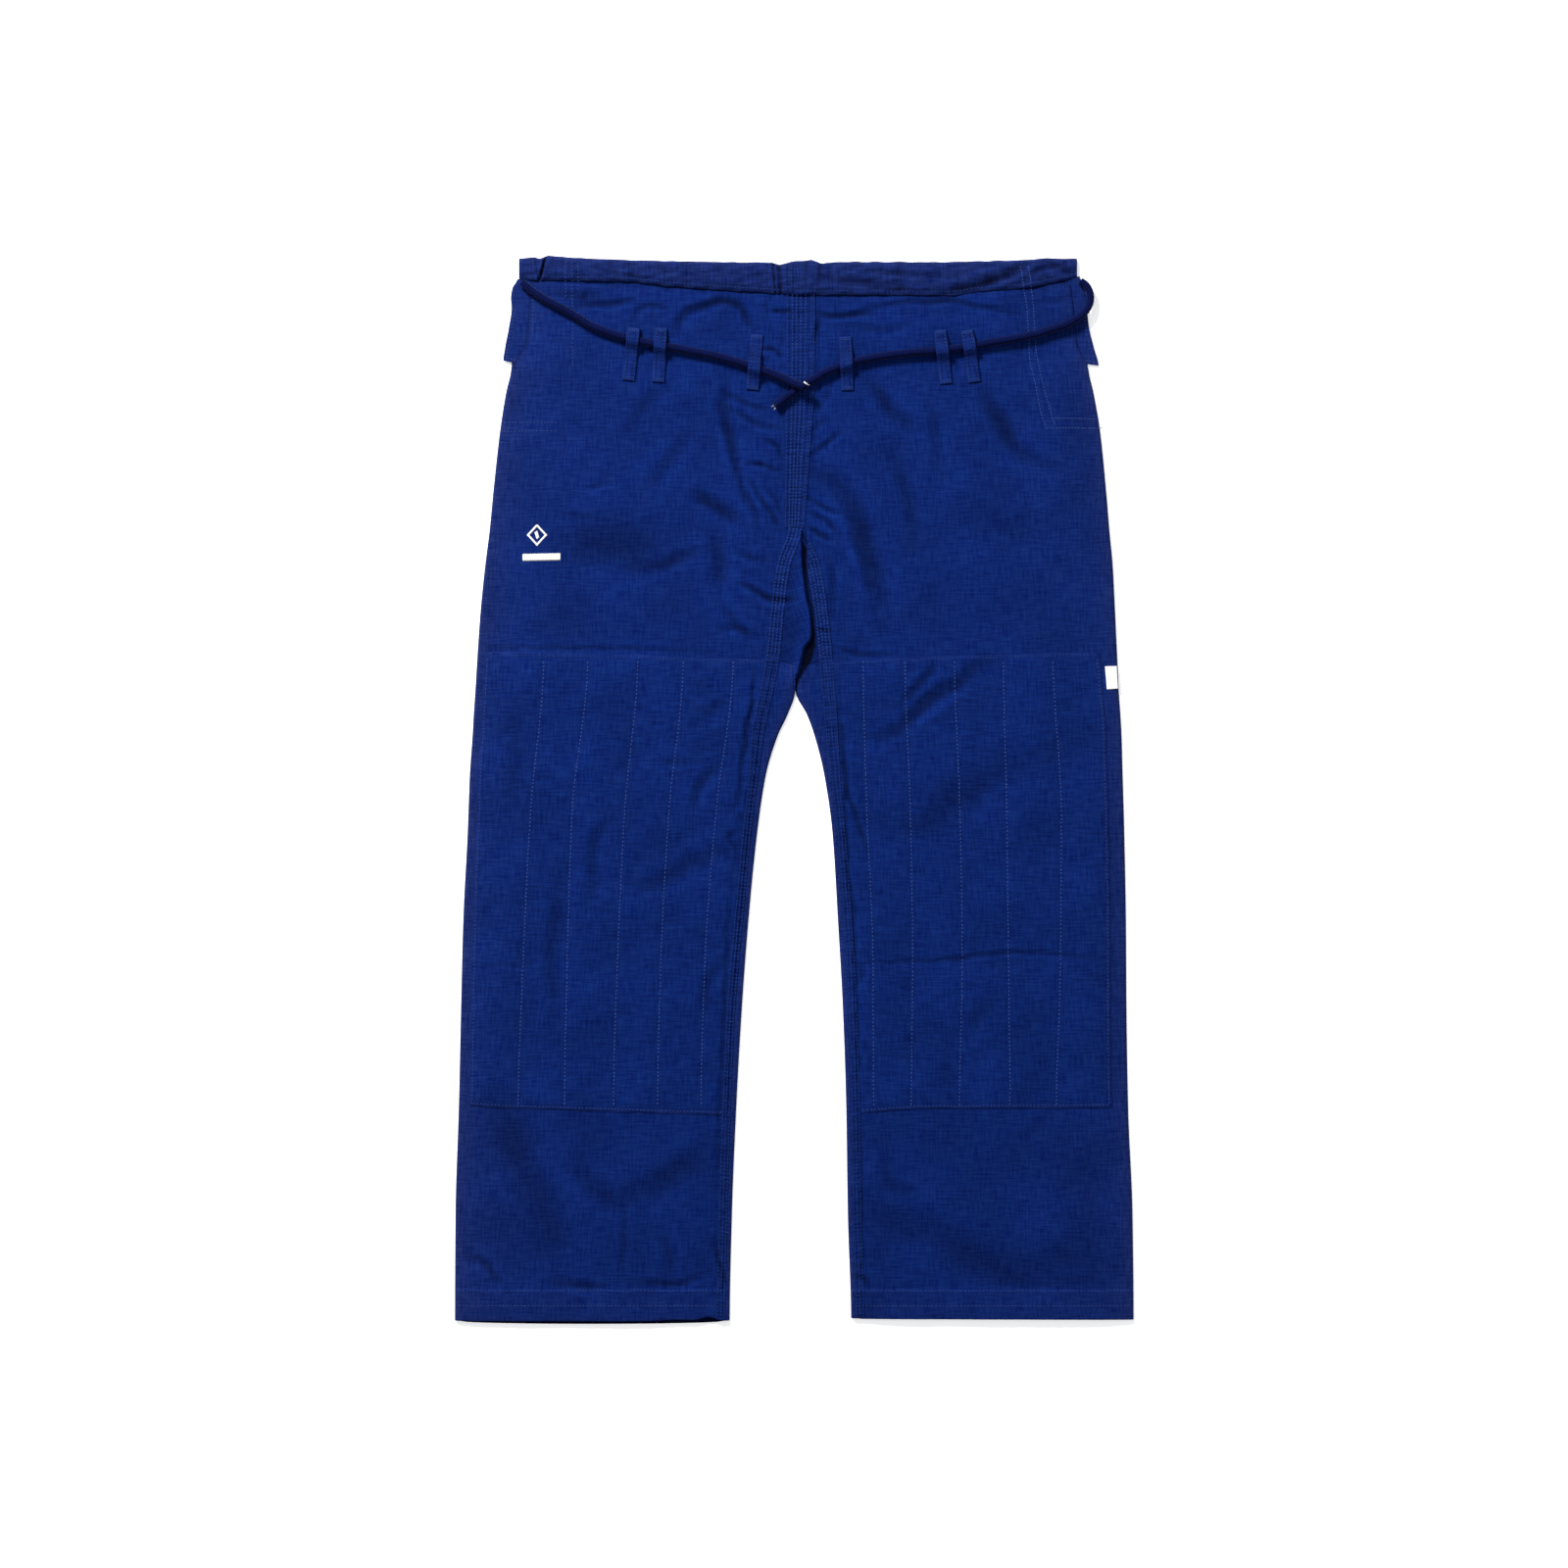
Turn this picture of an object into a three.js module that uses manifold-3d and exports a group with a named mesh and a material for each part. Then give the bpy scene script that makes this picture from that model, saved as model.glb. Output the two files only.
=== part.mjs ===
// Jiu-jitsu gi trousers laid out flat, front side up. Millimetres, +Z up, +Y towards the waist, +X to the wearer's
// left, origin on the floor under the middle of the garment. In the names, left is -X and right is +X, as seen from
// above with the waist at the top. Each cut piece of cloth is one closed wall: the back panels lie on the floor, the
// front panels lie on them, and what is sewn on lies on the front.
import * as THREE from 'three';
import { mergeVertices } from 'three/addons/utils/BufferGeometryUtils.js';
import Module from 'manifold-3d';

const wasm = await Module();
wasm.setup();

// ---- Driving dimensions ----
const CLOTH = 1.2; // one wall of cloth
const CASING_CLOTH = 2.4; // the waist casing is turned over, so its wall is double
const GAP = 0.3; // clearance at a seam and between two layers
const SEAM_HALF_GAP = GAP / 2;
const TRIM_GAP = 0.4; // clearance under what lies on the curved front
const FRONT_UNDER = CLOTH + GAP; // lowest underside of the front
const PILLOW = 2.4; // how far the front stands off the back inside the legs
const MOST_LIFT = 3.6;
const ROLL = 18; // distance over which the front rises from an edge
const HEM_RISE = 0.8; // the turned-up hem stands proud of the panel
const HEM_TOP = -453;
const HEM_STEP = 2;
const CORD_DIAMETER = 7;
const CORD_SIDES = 10;
const CORD_SAMPLES = 600; // points along a drawstring when its crossing with a strap is looked up
const LOOP_WIDTH = 11.5;
const LOOP_CLOTH = 1.5;
const TACK = 4.5; // length of the sewn-down end of a belt loop

// ---- Outline: x of each edge and seam, at heights from the waist to the hems ----
// edge: the folded side of the garment. seam: where the front panel ends inside, at the rise, the gusset and the
// inseam. fold: the inner edge of the leg, and above the crotch the seat seam.
const outline = [
  { y: 486, leftEdge: -249, leftSeam: 4, leftFold: 1, rightFold: 1, rightSeam: 4, rightEdge: 255.5 },
  { y: 464, leftEdge: -251, leftSeam: 4, leftFold: 1, rightFold: 1, rightSeam: 4, rightEdge: 258.5 },
  { y: 424, leftEdge: -254, leftSeam: 4, leftFold: 1, rightFold: 1, rightSeam: 4, rightEdge: 263 },
  { y: 381, leftEdge: -257.5, leftSeam: 4, leftFold: 1, rightFold: 1, rightSeam: 4, rightEdge: 267.5 },
  { y: 361, leftEdge: -262, leftSeam: 4, leftFold: 1, rightFold: 1, rightSeam: 4, rightEdge: 272 },
  { y: 326, leftEdge: -267.5, leftSeam: 3.5, leftFold: 1, rightFold: 1, rightSeam: 3.5, rightEdge: 278 },
  { y: 272, leftEdge: -273.5, leftSeam: 3, leftFold: 1, rightFold: 1, rightSeam: 3, rightEdge: 283.5 },
  { y: 236, leftEdge: -277, leftSeam: 1, leftFold: 1, rightFold: 1, rightSeam: 4.5, rightEdge: 286.5 },
  { y: 204, leftEdge: -281, leftSeam: -9.5, leftFold: 1, rightFold: 1, rightSeam: 17, rightEdge: 289.5 },
  { y: 165, leftEdge: -285, leftSeam: -15, leftFold: 1, rightFold: 1, rightSeam: 24, rightEdge: 291.5 },
  { y: 123, leftEdge: -288, leftSeam: -19, leftFold: 1, rightFold: 1, rightSeam: 28.5, rightEdge: 293.5 },
  { y: 90, leftEdge: -290, leftSeam: -25, leftFold: 1, rightFold: 1, rightSeam: 31, rightEdge: 295 },
  { y: 68, leftEdge: -291.5, leftSeam: -30, leftFold: -6, rightFold: 11.5, rightSeam: 33, rightEdge: 296.5 },
  { y: 50, leftEdge: -292.5, leftSeam: -33, leftFold: -14.5, rightFold: 18, rightSeam: 34.5, rightEdge: 297.5 },
  { y: 14, leftEdge: -295, leftSeam: -37, leftFold: -25.5, rightFold: 27, rightSeam: 37.5, rightEdge: 298.5 },
  { y: -39, leftEdge: -297, leftSeam: -43, leftFold: -33.5, rightFold: 34.5, rightSeam: 43, rightEdge: 300 },
  { y: -119, leftEdge: -301, leftSeam: -50.5, leftFold: -41.5, rightFold: 39.5, rightSeam: 49, rightEdge: 301.5 },
  { y: -199, leftEdge: -303, leftSeam: -57.5, leftFold: -47.5, rightFold: 44, rightSeam: 53.5, rightEdge: 302 },
  { y: -288, leftEdge: -305, leftSeam: -61.5, leftFold: -52.5, rightFold: 47, rightSeam: 56, rightEdge: 303.5 },
  { y: -386, leftEdge: -308, leftSeam: -64.5, leftFold: -56.5, rightFold: 48.5, rightSeam: 57.5, rightEdge: 307.5 },
  { y: -486, leftEdge: -308.5, leftSeam: -66.5, leftFold: -58.5, rightFold: 51.5, rightSeam: 60, rightEdge: 308.5 },
];
const NOTCH = { x: 1, y: 90 }; // where the legs part

// The line along the foot of the waist casing, and its gathered top edge.
const casingSeam = [
  { x: -252, y: 464.5 }, { x: -146, y: 462.3 }, { x: -117, y: 458.5 }, { x: -59, y: 454.5 }, { x: 4, y: 450.5 },
  { x: 147, y: 450.3 }, { x: 164, y: 453.5 }, { x: 214, y: 457 }, { x: 260, y: 467 },
];
const casingTop = [
  { x: -249, y: 482.8 }, { x: -236.5, y: 484 }, { x: -231, y: 482.8 }, { x: -224, y: 485.5 }, { x: -194, y: 483.3 },
  { x: -152, y: 481.5 }, { x: -59, y: 479.5 }, { x: -20, y: 479.4 }, { x: -13.5, y: 477 }, { x: -2.5, y: 480 },
  { x: 15.5, y: 481.6 }, { x: 24.5, y: 478.5 }, { x: 43, y: 480 }, { x: 130, y: 479.6 }, { x: 203, y: 481.2 },
  { x: 231, y: 483.3 }, { x: 255, y: 482.5 },
];

// Main folds of the front: each runs along a line, sinks or swells by lift, and fades over width.
const folds = [
  { what: 'foot of casing, left', from: [-251, 464.5], to: [-117, 459], width: 6, lift: -1.2 },
  { what: 'foot of casing, left middle', from: [-117, 459], to: [4, 450.5], width: 6, lift: -1.2 },
  { what: 'foot of casing, right middle', from: [4, 450.5], to: [147, 450.5], width: 6, lift: -1.1 },
  { what: 'foot of casing, right', from: [164, 453.5], to: [255, 465], width: 6, lift: -1.1 },
  { what: 'ripple, left', from: [-200, 437], to: [-160, 437], width: 8, lift: -0.9 },
  { what: 'arch, rising', from: [-108, 420], to: [-94, 433], width: 8, lift: -0.9 },
  { what: 'arch, crown', from: [-94, 433], to: [-54, 437], width: 8, lift: -1.0 },
  { what: 'arch, falling', from: [-54, 437], to: [-38, 417], width: 8, lift: -0.9 },
  { what: 'ripple, middle', from: [-18, 431], to: [4, 431], width: 8, lift: -0.9 },
  { what: 'ripple, right', from: [60, 431], to: [203, 434], width: 8, lift: -0.9 },
  { what: 'fan, left upper', from: [-36, 277], to: [-9, 254], width: 9, lift: -0.8 },
  { what: 'fan, left lower', from: [-44, 192], to: [-18, 180], width: 10, lift: -1.1 },
  { what: 'fan, right upper', from: [16, 263], to: [49, 223], width: 9, lift: -1.0 },
  { what: 'thigh, right', from: [36, 281], to: [80, 179], width: 15, lift: -0.9 },
  { what: 'hip, left', from: [-75, 345], to: [-62, 200], width: 20, lift: -0.6 },
  { what: 'knee, right', from: [177, 112], to: [66, 45], width: 14, lift: -1.2 },
  { what: 'knee, left', from: [-95, -45], to: [-190, -85], width: 16, lift: -0.7 },
  { what: 'shin crease, right', from: [57, -158], to: [193, -158], width: 8, lift: -0.6 },
  { what: 'shin valley, left', from: [-244, -325], to: [-190, -440], width: 26, lift: -1.2 },
  { what: 'shin ridge, left', from: [-150, -345], to: [-95, -435], width: 26, lift: 0.7 },
  { what: 'shin valley, right', from: [80, -385], to: [150, -430], width: 24, lift: -0.7 },
];

// The two legs. vent: the front stops this far inside the side above the vent end. patchInset: fraction of the
// width between the side and the knee patch. quilt: fractions of the width where the patch is quilted.
const legs = {
  left: {
    edge: 'leftEdge', seam: 'leftSeam', fold: 'leftFold', inward: 1, vent: 12, patchInset: 0.035,
    quilt: [0.22, 0.385, 0.555, 0.715, 0.885],
  },
  right: {
    edge: 'rightEdge', seam: 'rightSeam', fold: 'rightFold', inward: -1, vent: 8, patchInset: 0.055,
    quilt: [0.24, 0.415, 0.59, 0.76, 0.9],
  },
};

// Levels across a panel: the height at its side, the height at its inner seam, and the rows up to the next level.
const evenly = (count) => Array.from({ length: count }, (_, i) => i / count);
const patchSteps = [0, 0.034, 0.073, 0.117, 0.175, 0.243, 0.328, 0.425, 0.534, 0.65, 0.767, 0.883];
const levels = {
  left: [
    { name: 'casing seam', outer: 464.3, inner: 450.5, steps: [0, 0.11, 0.33, 0.47, 0.77] },
    { name: 'vent end', outer: 381, inner: 381, steps: evenly(5) },
    { name: 'fork', outer: 236, inner: 236, steps: evenly(4) },
    { name: 'patch top', outer: 125.5, inner: 119.5, steps: patchSteps },
    { name: 'patch bottom', outer: -287, inner: -296, steps: evenly(4) },
    { name: 'hem top', outer: HEM_TOP, inner: HEM_TOP, steps: [0] },
    { name: 'hem step', outer: HEM_TOP - HEM_STEP, inner: HEM_TOP - HEM_STEP, steps: [0] },
    { name: 'hem', outer: -482.5, inner: -482.5, steps: [0] },
  ],
  right: [
    { name: 'casing seam', outer: 466, inner: 450.5, steps: [0, 0.11, 0.33, 0.47, 0.77] },
    { name: 'vent end', outer: 381, inner: 381, steps: evenly(5) },
    { name: 'fork', outer: 236, inner: 236, steps: evenly(4) },
    { name: 'patch top', outer: 125.5, inner: 117, steps: patchSteps },
    { name: 'patch bottom', outer: -289, inner: -294, steps: evenly(4) },
    { name: 'hem top', outer: HEM_TOP, inner: HEM_TOP, steps: [0] },
    { name: 'hem step', outer: HEM_TOP - HEM_STEP, inner: HEM_TOP - HEM_STEP, steps: [0] },
    { name: 'hem', outer: -480.5, inner: -481.5, steps: [0] },
  ],
};
const BACK_HEM_DROP = { left: 3, right: 1 }; // the back hem shows this far below the front hem, in the middle
const BACK_FRACTIONS = [0, 0.5, 1];
const gussetFoot = [{ x: -18.9, y: 119.5 }, { x: 0.9, y: 113 }, { x: 4.2, y: 113 }, { x: 28.4, y: 117 }];
const FOLD_WALL_OVERLAP = 4; // how far the flat back wall stops short of the folded inner edge

// ---- Small helpers ----
const mix = (a, b, t) => a + (b - a) * t;
const clamp = (value, low, high) => Math.min(Math.max(value, low), high);

// A column of the outline as a smooth curve of y that never overshoots its rows.
function column(name, y) {
  const last = outline.length - 1;
  const found = outline.findIndex((row) => row.y <= y);
  const i = clamp(found === -1 ? last : found, 1, last);
  const value = (k) => outline[clamp(k, 0, last)][name];
  const height = (k) => outline[clamp(k, 0, last)].y;
  const grade = (k) => (value(k + 1) - value(k)) / (height(k + 1) - height(k) || 1);
  const slope = (k) => {
    const [above, below] = [grade(k - 1), grade(k)];
    return above * below > 0 ? (2 * above * below) / (above + below) : 0;
  };
  const span = height(i) - height(i - 1);
  const t = clamp((y - height(i - 1)) / span, 0, 1);
  const t2 = t * t;
  const t3 = t2 * t;
  return value(i - 1) * (2 * t3 - 3 * t2 + 1) + slope(i - 1) * span * (t3 - 2 * t2 + t)
    + value(i) * (3 * t2 - 2 * t3) + slope(i) * span * (t3 - t2);
}

// The height of a line given as corner points whose x goes up.
function lineAt(line, x) {
  const i = clamp(line.findIndex((p) => p.x >= x), 1, line.length - 1);
  const start = x > line[line.length - 1].x ? line.length - 1 : i;
  const [a, b] = [line[start - 1], line[start]];
  return mix(a.y, b.y, clamp((x - a.x) / (b.x - a.x), 0, 1));
}

function distanceToLine(x, y, [ax, ay], [bx, by]) {
  const along = clamp(((x - ax) * (bx - ax) + (y - ay) * (by - ay)) / ((bx - ax) ** 2 + (by - ay) ** 2), 0, 1);
  return Math.hypot(x - mix(ax, bx, along), y - mix(ay, by, along));
}

// ---- Heights of the front ----
const rise = (distance) => 1 - Math.exp(-Math.max(distance, 0) / ROLL);

function innerDistance(x, y) {
  if (y > NOTCH.y) return Math.hypot(x - NOTCH.x, y - NOTCH.y);
  return x < NOTCH.x ? column('leftFold', y) - x : x - column('rightFold', y);
}

// How far the underside of the front stands above its lowest place.
function lift(x, y) {
  const side = Math.min(x - column('leftEdge', y), column('rightEdge', y) - x);
  let height = PILLOW * rise(side) * rise(innerDistance(x, y));
  for (const fold of folds) {
    height += fold.lift * rise(side) * Math.exp(-((distanceToLine(x, y, fold.from, fold.to) / fold.width) ** 2));
  }
  return clamp(height, 0, MOST_LIFT);
}

const frontUnder = (x, y) => FRONT_UNDER + lift(x, y);
const frontTop = (x, y) => frontUnder(x, y) + CLOTH;

// ---- Closed walls from grids of points ----
// grid[row][column] holds the point of the wall's outer face, over, and of its inner face, under.
function wall(grid) {
  const rows = grid.length;
  const columns = grid[0].length;
  const positions = [];
  for (const face of ['over', 'under']) {
    for (const row of grid) {
      for (const point of row) positions.push(...point[face]);
    }
  }
  const over = (r, c) => r * columns + c;
  const under = (r, c) => (rows + r) * columns + c;
  const index = [];
  const quad = (a, b, c, d) => index.push(a, b, c, a, c, d);
  for (let r = 0; r < rows - 1; r++) {
    for (let c = 0; c < columns - 1; c++) {
      quad(over(r, c), over(r + 1, c), over(r + 1, c + 1), over(r, c + 1));
      quad(under(r, c), under(r, c + 1), under(r + 1, c + 1), under(r + 1, c));
    }
    quad(over(r + 1, 0), over(r, 0), under(r, 0), under(r + 1, 0));
    quad(over(r, columns - 1), over(r + 1, columns - 1), under(r + 1, columns - 1), under(r, columns - 1));
  }
  for (let c = 0; c < columns - 1; c++) {
    quad(over(0, c), over(0, c + 1), under(0, c + 1), under(0, c));
    quad(over(rows - 1, c + 1), over(rows - 1, c), under(rows - 1, c), under(rows - 1, c + 1));
  }
  const geometry = new THREE.BufferGeometry();
  geometry.setAttribute('position', new THREE.Float32BufferAttribute(positions, 3));
  geometry.setIndex(signedVolume(positions, index) < 0 ? index.reverse() : index);
  return geometry;
}

function signedVolume(positions, index) {
  const at = (i) => new THREE.Vector3(positions[3 * i], positions[3 * i + 1], positions[3 * i + 2]);
  let volume = 0;
  for (let i = 0; i < index.length; i += 3) volume += at(index[i]).cross(at(index[i + 1])).dot(at(index[i + 2]));
  return volume / 6;
}

// A flat-lying wall: each point has x, y and the heights of its two faces.
const sheetPoint = (x, y, under, over) => ({ over: [x, y, over], under: [x, y, under] });

function toManifold(geometry) {
  const bare = new THREE.BufferGeometry();
  bare.setAttribute('position', geometry.getAttribute('position'));
  bare.setIndex(geometry.getIndex());
  const merged = mergeVertices(bare);
  return new wasm.Manifold(new wasm.Mesh({
    numProp: 3,
    vertProperties: new Float32Array(merged.getAttribute('position').array),
    triVerts: new Uint32Array(merged.getIndex().array),
  }));
}

function joined(a, b) {
  const { vertProperties, triVerts } = toManifold(a).add(toManifold(b)).getMesh();
  const geometry = new THREE.BufferGeometry();
  geometry.setAttribute('position', new THREE.BufferAttribute(vertProperties, 3));
  geometry.setIndex(new THREE.BufferAttribute(triVerts, 1));
  return geometry;
}

// ---- Materials ----
const cloth = (color) => new THREE.MeshStandardMaterial({ color, roughness: 0.92, metalness: 0 });
const DRILL = '#17296e';
const PATCH_DRILL = '#16286a';
const CORD_BLUE = '#1c1846';
const TAB_WHITE = '#eceae6';

const garment = new THREE.Group();

function addPiece(name, geometry, color) {
  const mesh = new THREE.Mesh(geometry, cloth(color));
  mesh.name = name;
  garment.add(mesh);
}

// ---- Rows and columns shared by the panels ----
function rowsOf(side) {
  const rows = [];
  levels[side].forEach((level, i) => {
    const next = levels[side][i + 1] ?? level;
    for (const step of level.steps) {
      rows.push({
        level: level.name,
        outerY: mix(level.outer, next.outer, step),
        innerY: mix(level.inner, next.inner, step),
        follow: i === 0 ? (1 - step) ** 1.5 : 0, // how closely the row follows the casing's foot
      });
    }
  });
  return rows;
}

function columnsOf(leg) {
  const marks = [leg.patchInset, ...leg.quilt, 1];
  const columns = [0, leg.patchInset];
  for (let i = 1; i < marks.length; i++) columns.push((marks[i - 1] + marks[i]) / 2, marks[i]);
  return columns;
}

// The place at fraction u of a row that runs from outerX to innerX.
function placeOn(side, row, u, outerX, innerX) {
  const x = mix(outerX, innerX, u);
  const [top] = levels[side];
  const bow = row.follow * (lineAt(casingSeam, x) - mix(top.outer, top.inner, u));
  const seamGap = row.follow === 1 ? GAP : 0;
  return [x, mix(row.outerY, row.innerY, u) + bow - seamGap];
}

const isHem = (row) => row.level === 'hem' || row.level === 'hem step';

// ---- Front panels ----
function frontGrid(side) {
  const leg = legs[side];
  return rowsOf(side).map((row) => {
    const vent = row.follow > 0 ? leg.vent : 0;
    const outerX = column(leg.edge, row.outerY) + leg.inward * vent;
    const innerX = column(leg.seam, row.innerY) - leg.inward * SEAM_HALF_GAP;
    const proud = isHem(row) ? HEM_RISE : 0;
    return columnsOf(leg).map((u) => {
      const [x, y] = placeOn(side, row, u, outerX, innerX);
      const hidden = rise(Math.abs(x - column(leg.edge, y)));
      return sheetPoint(x, y, frontUnder(x, y), frontTop(x, y) + proud * hidden);
    });
  });
}

const front = { left: frontGrid('left'), right: frontGrid('right') };
addPiece('front_panel_left', wall(front.left), DRILL);
addPiece('front_panel_right', wall(front.right), DRILL);

// ---- Back panels: a flat wall on the floor, folded up round the inner edge of the leg to the inseam ----
function backFlat(side) {
  const leg = legs[side];
  return wall(rowsOf(side).map((row) => {
    const outerX = column(leg.edge, row.outerY);
    const short = row.innerY < NOTCH.y - 1 ? FOLD_WALL_OVERLAP : SEAM_HALF_GAP;
    const innerX = column(leg.fold, row.innerY) - leg.inward * short;
    return BACK_FRACTIONS.map((u) => {
      const [x, y] = placeOn(side, row, u, outerX, innerX);
      const drop = row.level === 'hem' && u > 0 && u < 1 ? BACK_HEM_DROP[side] : 0;
      return sheetPoint(x, y - drop, 0, CLOTH);
    });
  }));
}

// Round the inner edge the wall turns over: distance in from the edge and height, of its outer and inner face.
const turn = [
  { overIn: 0.7, overZ: 2.35, underIn: 1.8, underZ: FRONT_UNDER + 0.05 },
  { overIn: 0, overZ: 1.35, underIn: 1.6, underZ: 1.35 },
  { overIn: 0.7, overZ: 0.25, underIn: 1.8, underZ: CLOTH },
  { overIn: 2, overZ: 0, underIn: 3, underZ: CLOTH },
  { overIn: 8, overZ: 0, underIn: 8, underZ: CLOTH },
];
const ONTO_FRONT = [1, 0.5]; // places across the turned-over strip, from the inseam towards the edge
const STRIP_EDGE = 3;

function backFold(side) {
  const leg = legs[side];
  const rows = rowsOf(side).filter((row) => row.innerY < levels[side][3].inner + 1);
  return wall(rows.map((row, i) => {
    const besideGusset = i === 0;
    const rowY = (x) => (besideGusset ? lineAt(gussetFoot, x) - GAP : row.innerY);
    const edgeX = column(leg.fold, row.innerY) - leg.inward * SEAM_HALF_GAP;
    const seamX = column(leg.seam, row.innerY) + leg.inward * SEAM_HALF_GAP;
    const edgeY = rowY(edgeX);
    const strip = ONTO_FRONT.map((u) => mix(edgeX, seamX, u)).map((x) => [x, rowY(x)]);
    strip.push([edgeX - leg.inward * STRIP_EDGE, edgeY]);
    const proud = isHem(row) ? HEM_RISE : 0;
    return [
      ...strip.map(([x, y]) => sheetPoint(x, y, frontUnder(x, y), frontTop(x, y) + proud)),
      ...turn.map((p) => ({
        over: [edgeX - leg.inward * p.overIn, edgeY, p.overZ],
        under: [edgeX - leg.inward * p.underIn, edgeY, p.underZ],
      })),
    ];
  }));
}

addPiece('back_panel_left', joined(backFlat('left'), backFold('left')), DRILL);
addPiece('back_panel_right', joined(backFlat('right'), backFold('right')), DRILL);

// ---- Crotch gusset: a diamond whose left half folds over its right half ----
const gussetFold = [
  { foldX: 2.6, swell: 0.1 }, { foldX: 9, swell: 0.8 }, { foldX: 13, swell: 0.9 }, { foldX: 16, swell: 0.9 },
  { foldX: 6.5, swell: 0.6 },
];
const GUSSET_STEP = 2.4; // width of the step from the upper half down to the lower half

function gussetGrid() {
  const forkRows = (side) => rowsOf(side).filter((row) => row.level === 'fork')
    .concat(rowsOf(side).filter((row) => row.level === 'patch top').slice(0, 1));
  const leftRows = forkRows('left');
  const rightRows = forkRows('right');
  return gussetFold.map(({ foldX, swell }, i) => {
    const leftY = leftRows[i].innerY;
    const rightY = rightRows[i].innerY;
    const leftX = column('leftSeam', leftY) + SEAM_HALF_GAP;
    const rightX = column('rightSeam', rightY) - SEAM_HALF_GAP;
    const footX = Math.min(foldX + GUSSET_STEP, mix(foldX, rightX, 0.5));
    const isFoot = i === gussetFold.length - 1;
    const rowY = (x) => (isFoot ? lineAt(gussetFoot, x) : mix(leftY, rightY, (x - leftX) / (rightX - leftX)));
    return [
      [leftX, 0], [mix(leftX, foldX, 0.6), swell * 0.7], [foldX, swell], [footX, -swell], [rightX, 0],
    ].map(([x, raised]) => sheetPoint(x, rowY(x), frontUnder(x, rowY(x)) + raised, frontTop(x, rowY(x)) + raised));
  });
}

addPiece('crotch_gusset', wall(gussetGrid()), DRILL);

// ---- Knee patches: each lies on its front panel, made from the panel's own points ----
const PATCH_THICKNESS = 1.3;
const QUILT_DEPTH = 0.3;

function patchGrid(side) {
  const rows = rowsOf(side);
  const first = rows.findIndex((row) => row.level === 'patch top');
  const last = rows.findIndex((row) => row.level === 'patch bottom');
  return front[side].slice(first, last + 1).map((row) => row.slice(1).map(({ over: [x, y, z] }, c, all) => {
    const between = c === 0 || c === all.length - 1 ? 0 : (c % 2 === 1 ? QUILT_DEPTH : -QUILT_DEPTH);
    return sheetPoint(x, y, z + GAP, z + GAP + PATCH_THICKNESS + between);
  }));
}

addPiece('knee_patch_left', wall(patchGrid('left')), PATCH_DRILL);
addPiece('knee_patch_right', wall(patchGrid('right')), PATCH_DRILL);

// ---- Waist casing: the top edge turned over, in a left and a right front half and one back strip ----
const CASING_SPLIT = -1.3;
const casingProfile = [
  { down: 0, over: 2.1 }, { down: 0.18, over: 3.7 }, { down: 0.5, over: 4.5 }, { down: 0.82, over: 4.0 },
  { down: 1, over: 2.5 },
];
const gathers = [
  { x: -232, width: 2.5, depth: 1.2 }, { x: -226.5, width: 2.5, depth: 1.2 }, { x: -13.5, width: 4, depth: 0.9 },
  { x: 24.5, width: 5, depth: 0.6 }, { x: 96, width: 20, depth: 0.6 }, { x: 214, width: 9, depth: 0.8 },
];

function casingGrid(xs) {
  return casingProfile.map(({ down, over }) => xs.map((x) => {
    const topY = lineAt(casingTop, x);
    const footY = lineAt(casingSeam, x) + GAP;
    const side = Math.min(x - column('leftEdge', topY), column('rightEdge', topY) - x);
    const gathered = gathers.reduce((sum, g) => sum + g.depth * Math.exp(-(((x - g.x) / g.width) ** 2)), 0);
    const top = FRONT_UNDER + Math.max(over * mix(0.55, 1, rise(side)) - gathered * (1 - down * 0.5), 1.1);
    return sheetPoint(x, mix(topY, footY, down), Math.max(top - CASING_CLOTH, FRONT_UNDER), top);
  }));
}

const topRowX = (side) => front[side][0].map((point) => point.over[0]);
const leftTopX = topRowX('left');
const rightTopX = topRowX('right').reverse();
const SIDE_ENDS = { left: -250.2, right: 257 };
const leftCasingX = [SIDE_ENDS.left, leftTopX[0], -234.5, leftTopX[1], -229.2, -226.5, -223.5,
  ...leftTopX.slice(2, -1), -24, -13.5, CASING_SPLIT - SEAM_HALF_GAP];
const rightCasingX = [CASING_SPLIT + SEAM_HALF_GAP, leftTopX.at(-1), rightTopX[0], 15.5, ...rightTopX.slice(1),
  SIDE_ENDS.right];
const inOrder = (xs) => [...xs].sort((a, b) => a - b);
addPiece('waist_casing_front_left', wall(casingGrid(inOrder(leftCasingX))), DRILL);
addPiece('waist_casing_front_right', wall(casingGrid(inOrder(rightCasingX))), DRILL);

function backCasingGrid() {
  const xs = [];
  for (const side of ['left', 'right']) {
    const [row] = rowsOf(side);
    const leg = legs[side];
    const innerX = column(leg.fold, row.innerY) - leg.inward * SEAM_HALF_GAP;
    for (const u of BACK_FRACTIONS) xs.push(placeOn(side, row, u, column(leg.edge, row.outerY), innerX)[0]);
  }
  const ordered = inOrder(xs);
  return [lineAt.bind(null, casingTop), (x) => lineAt(casingSeam, x)].map((edgeY) => (
    ordered.map((x) => sheetPoint(x, edgeY(x), 0, CLOTH))
  ));
}

addPiece('waist_casing_back', wall(backCasingGrid()), DRILL);

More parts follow.
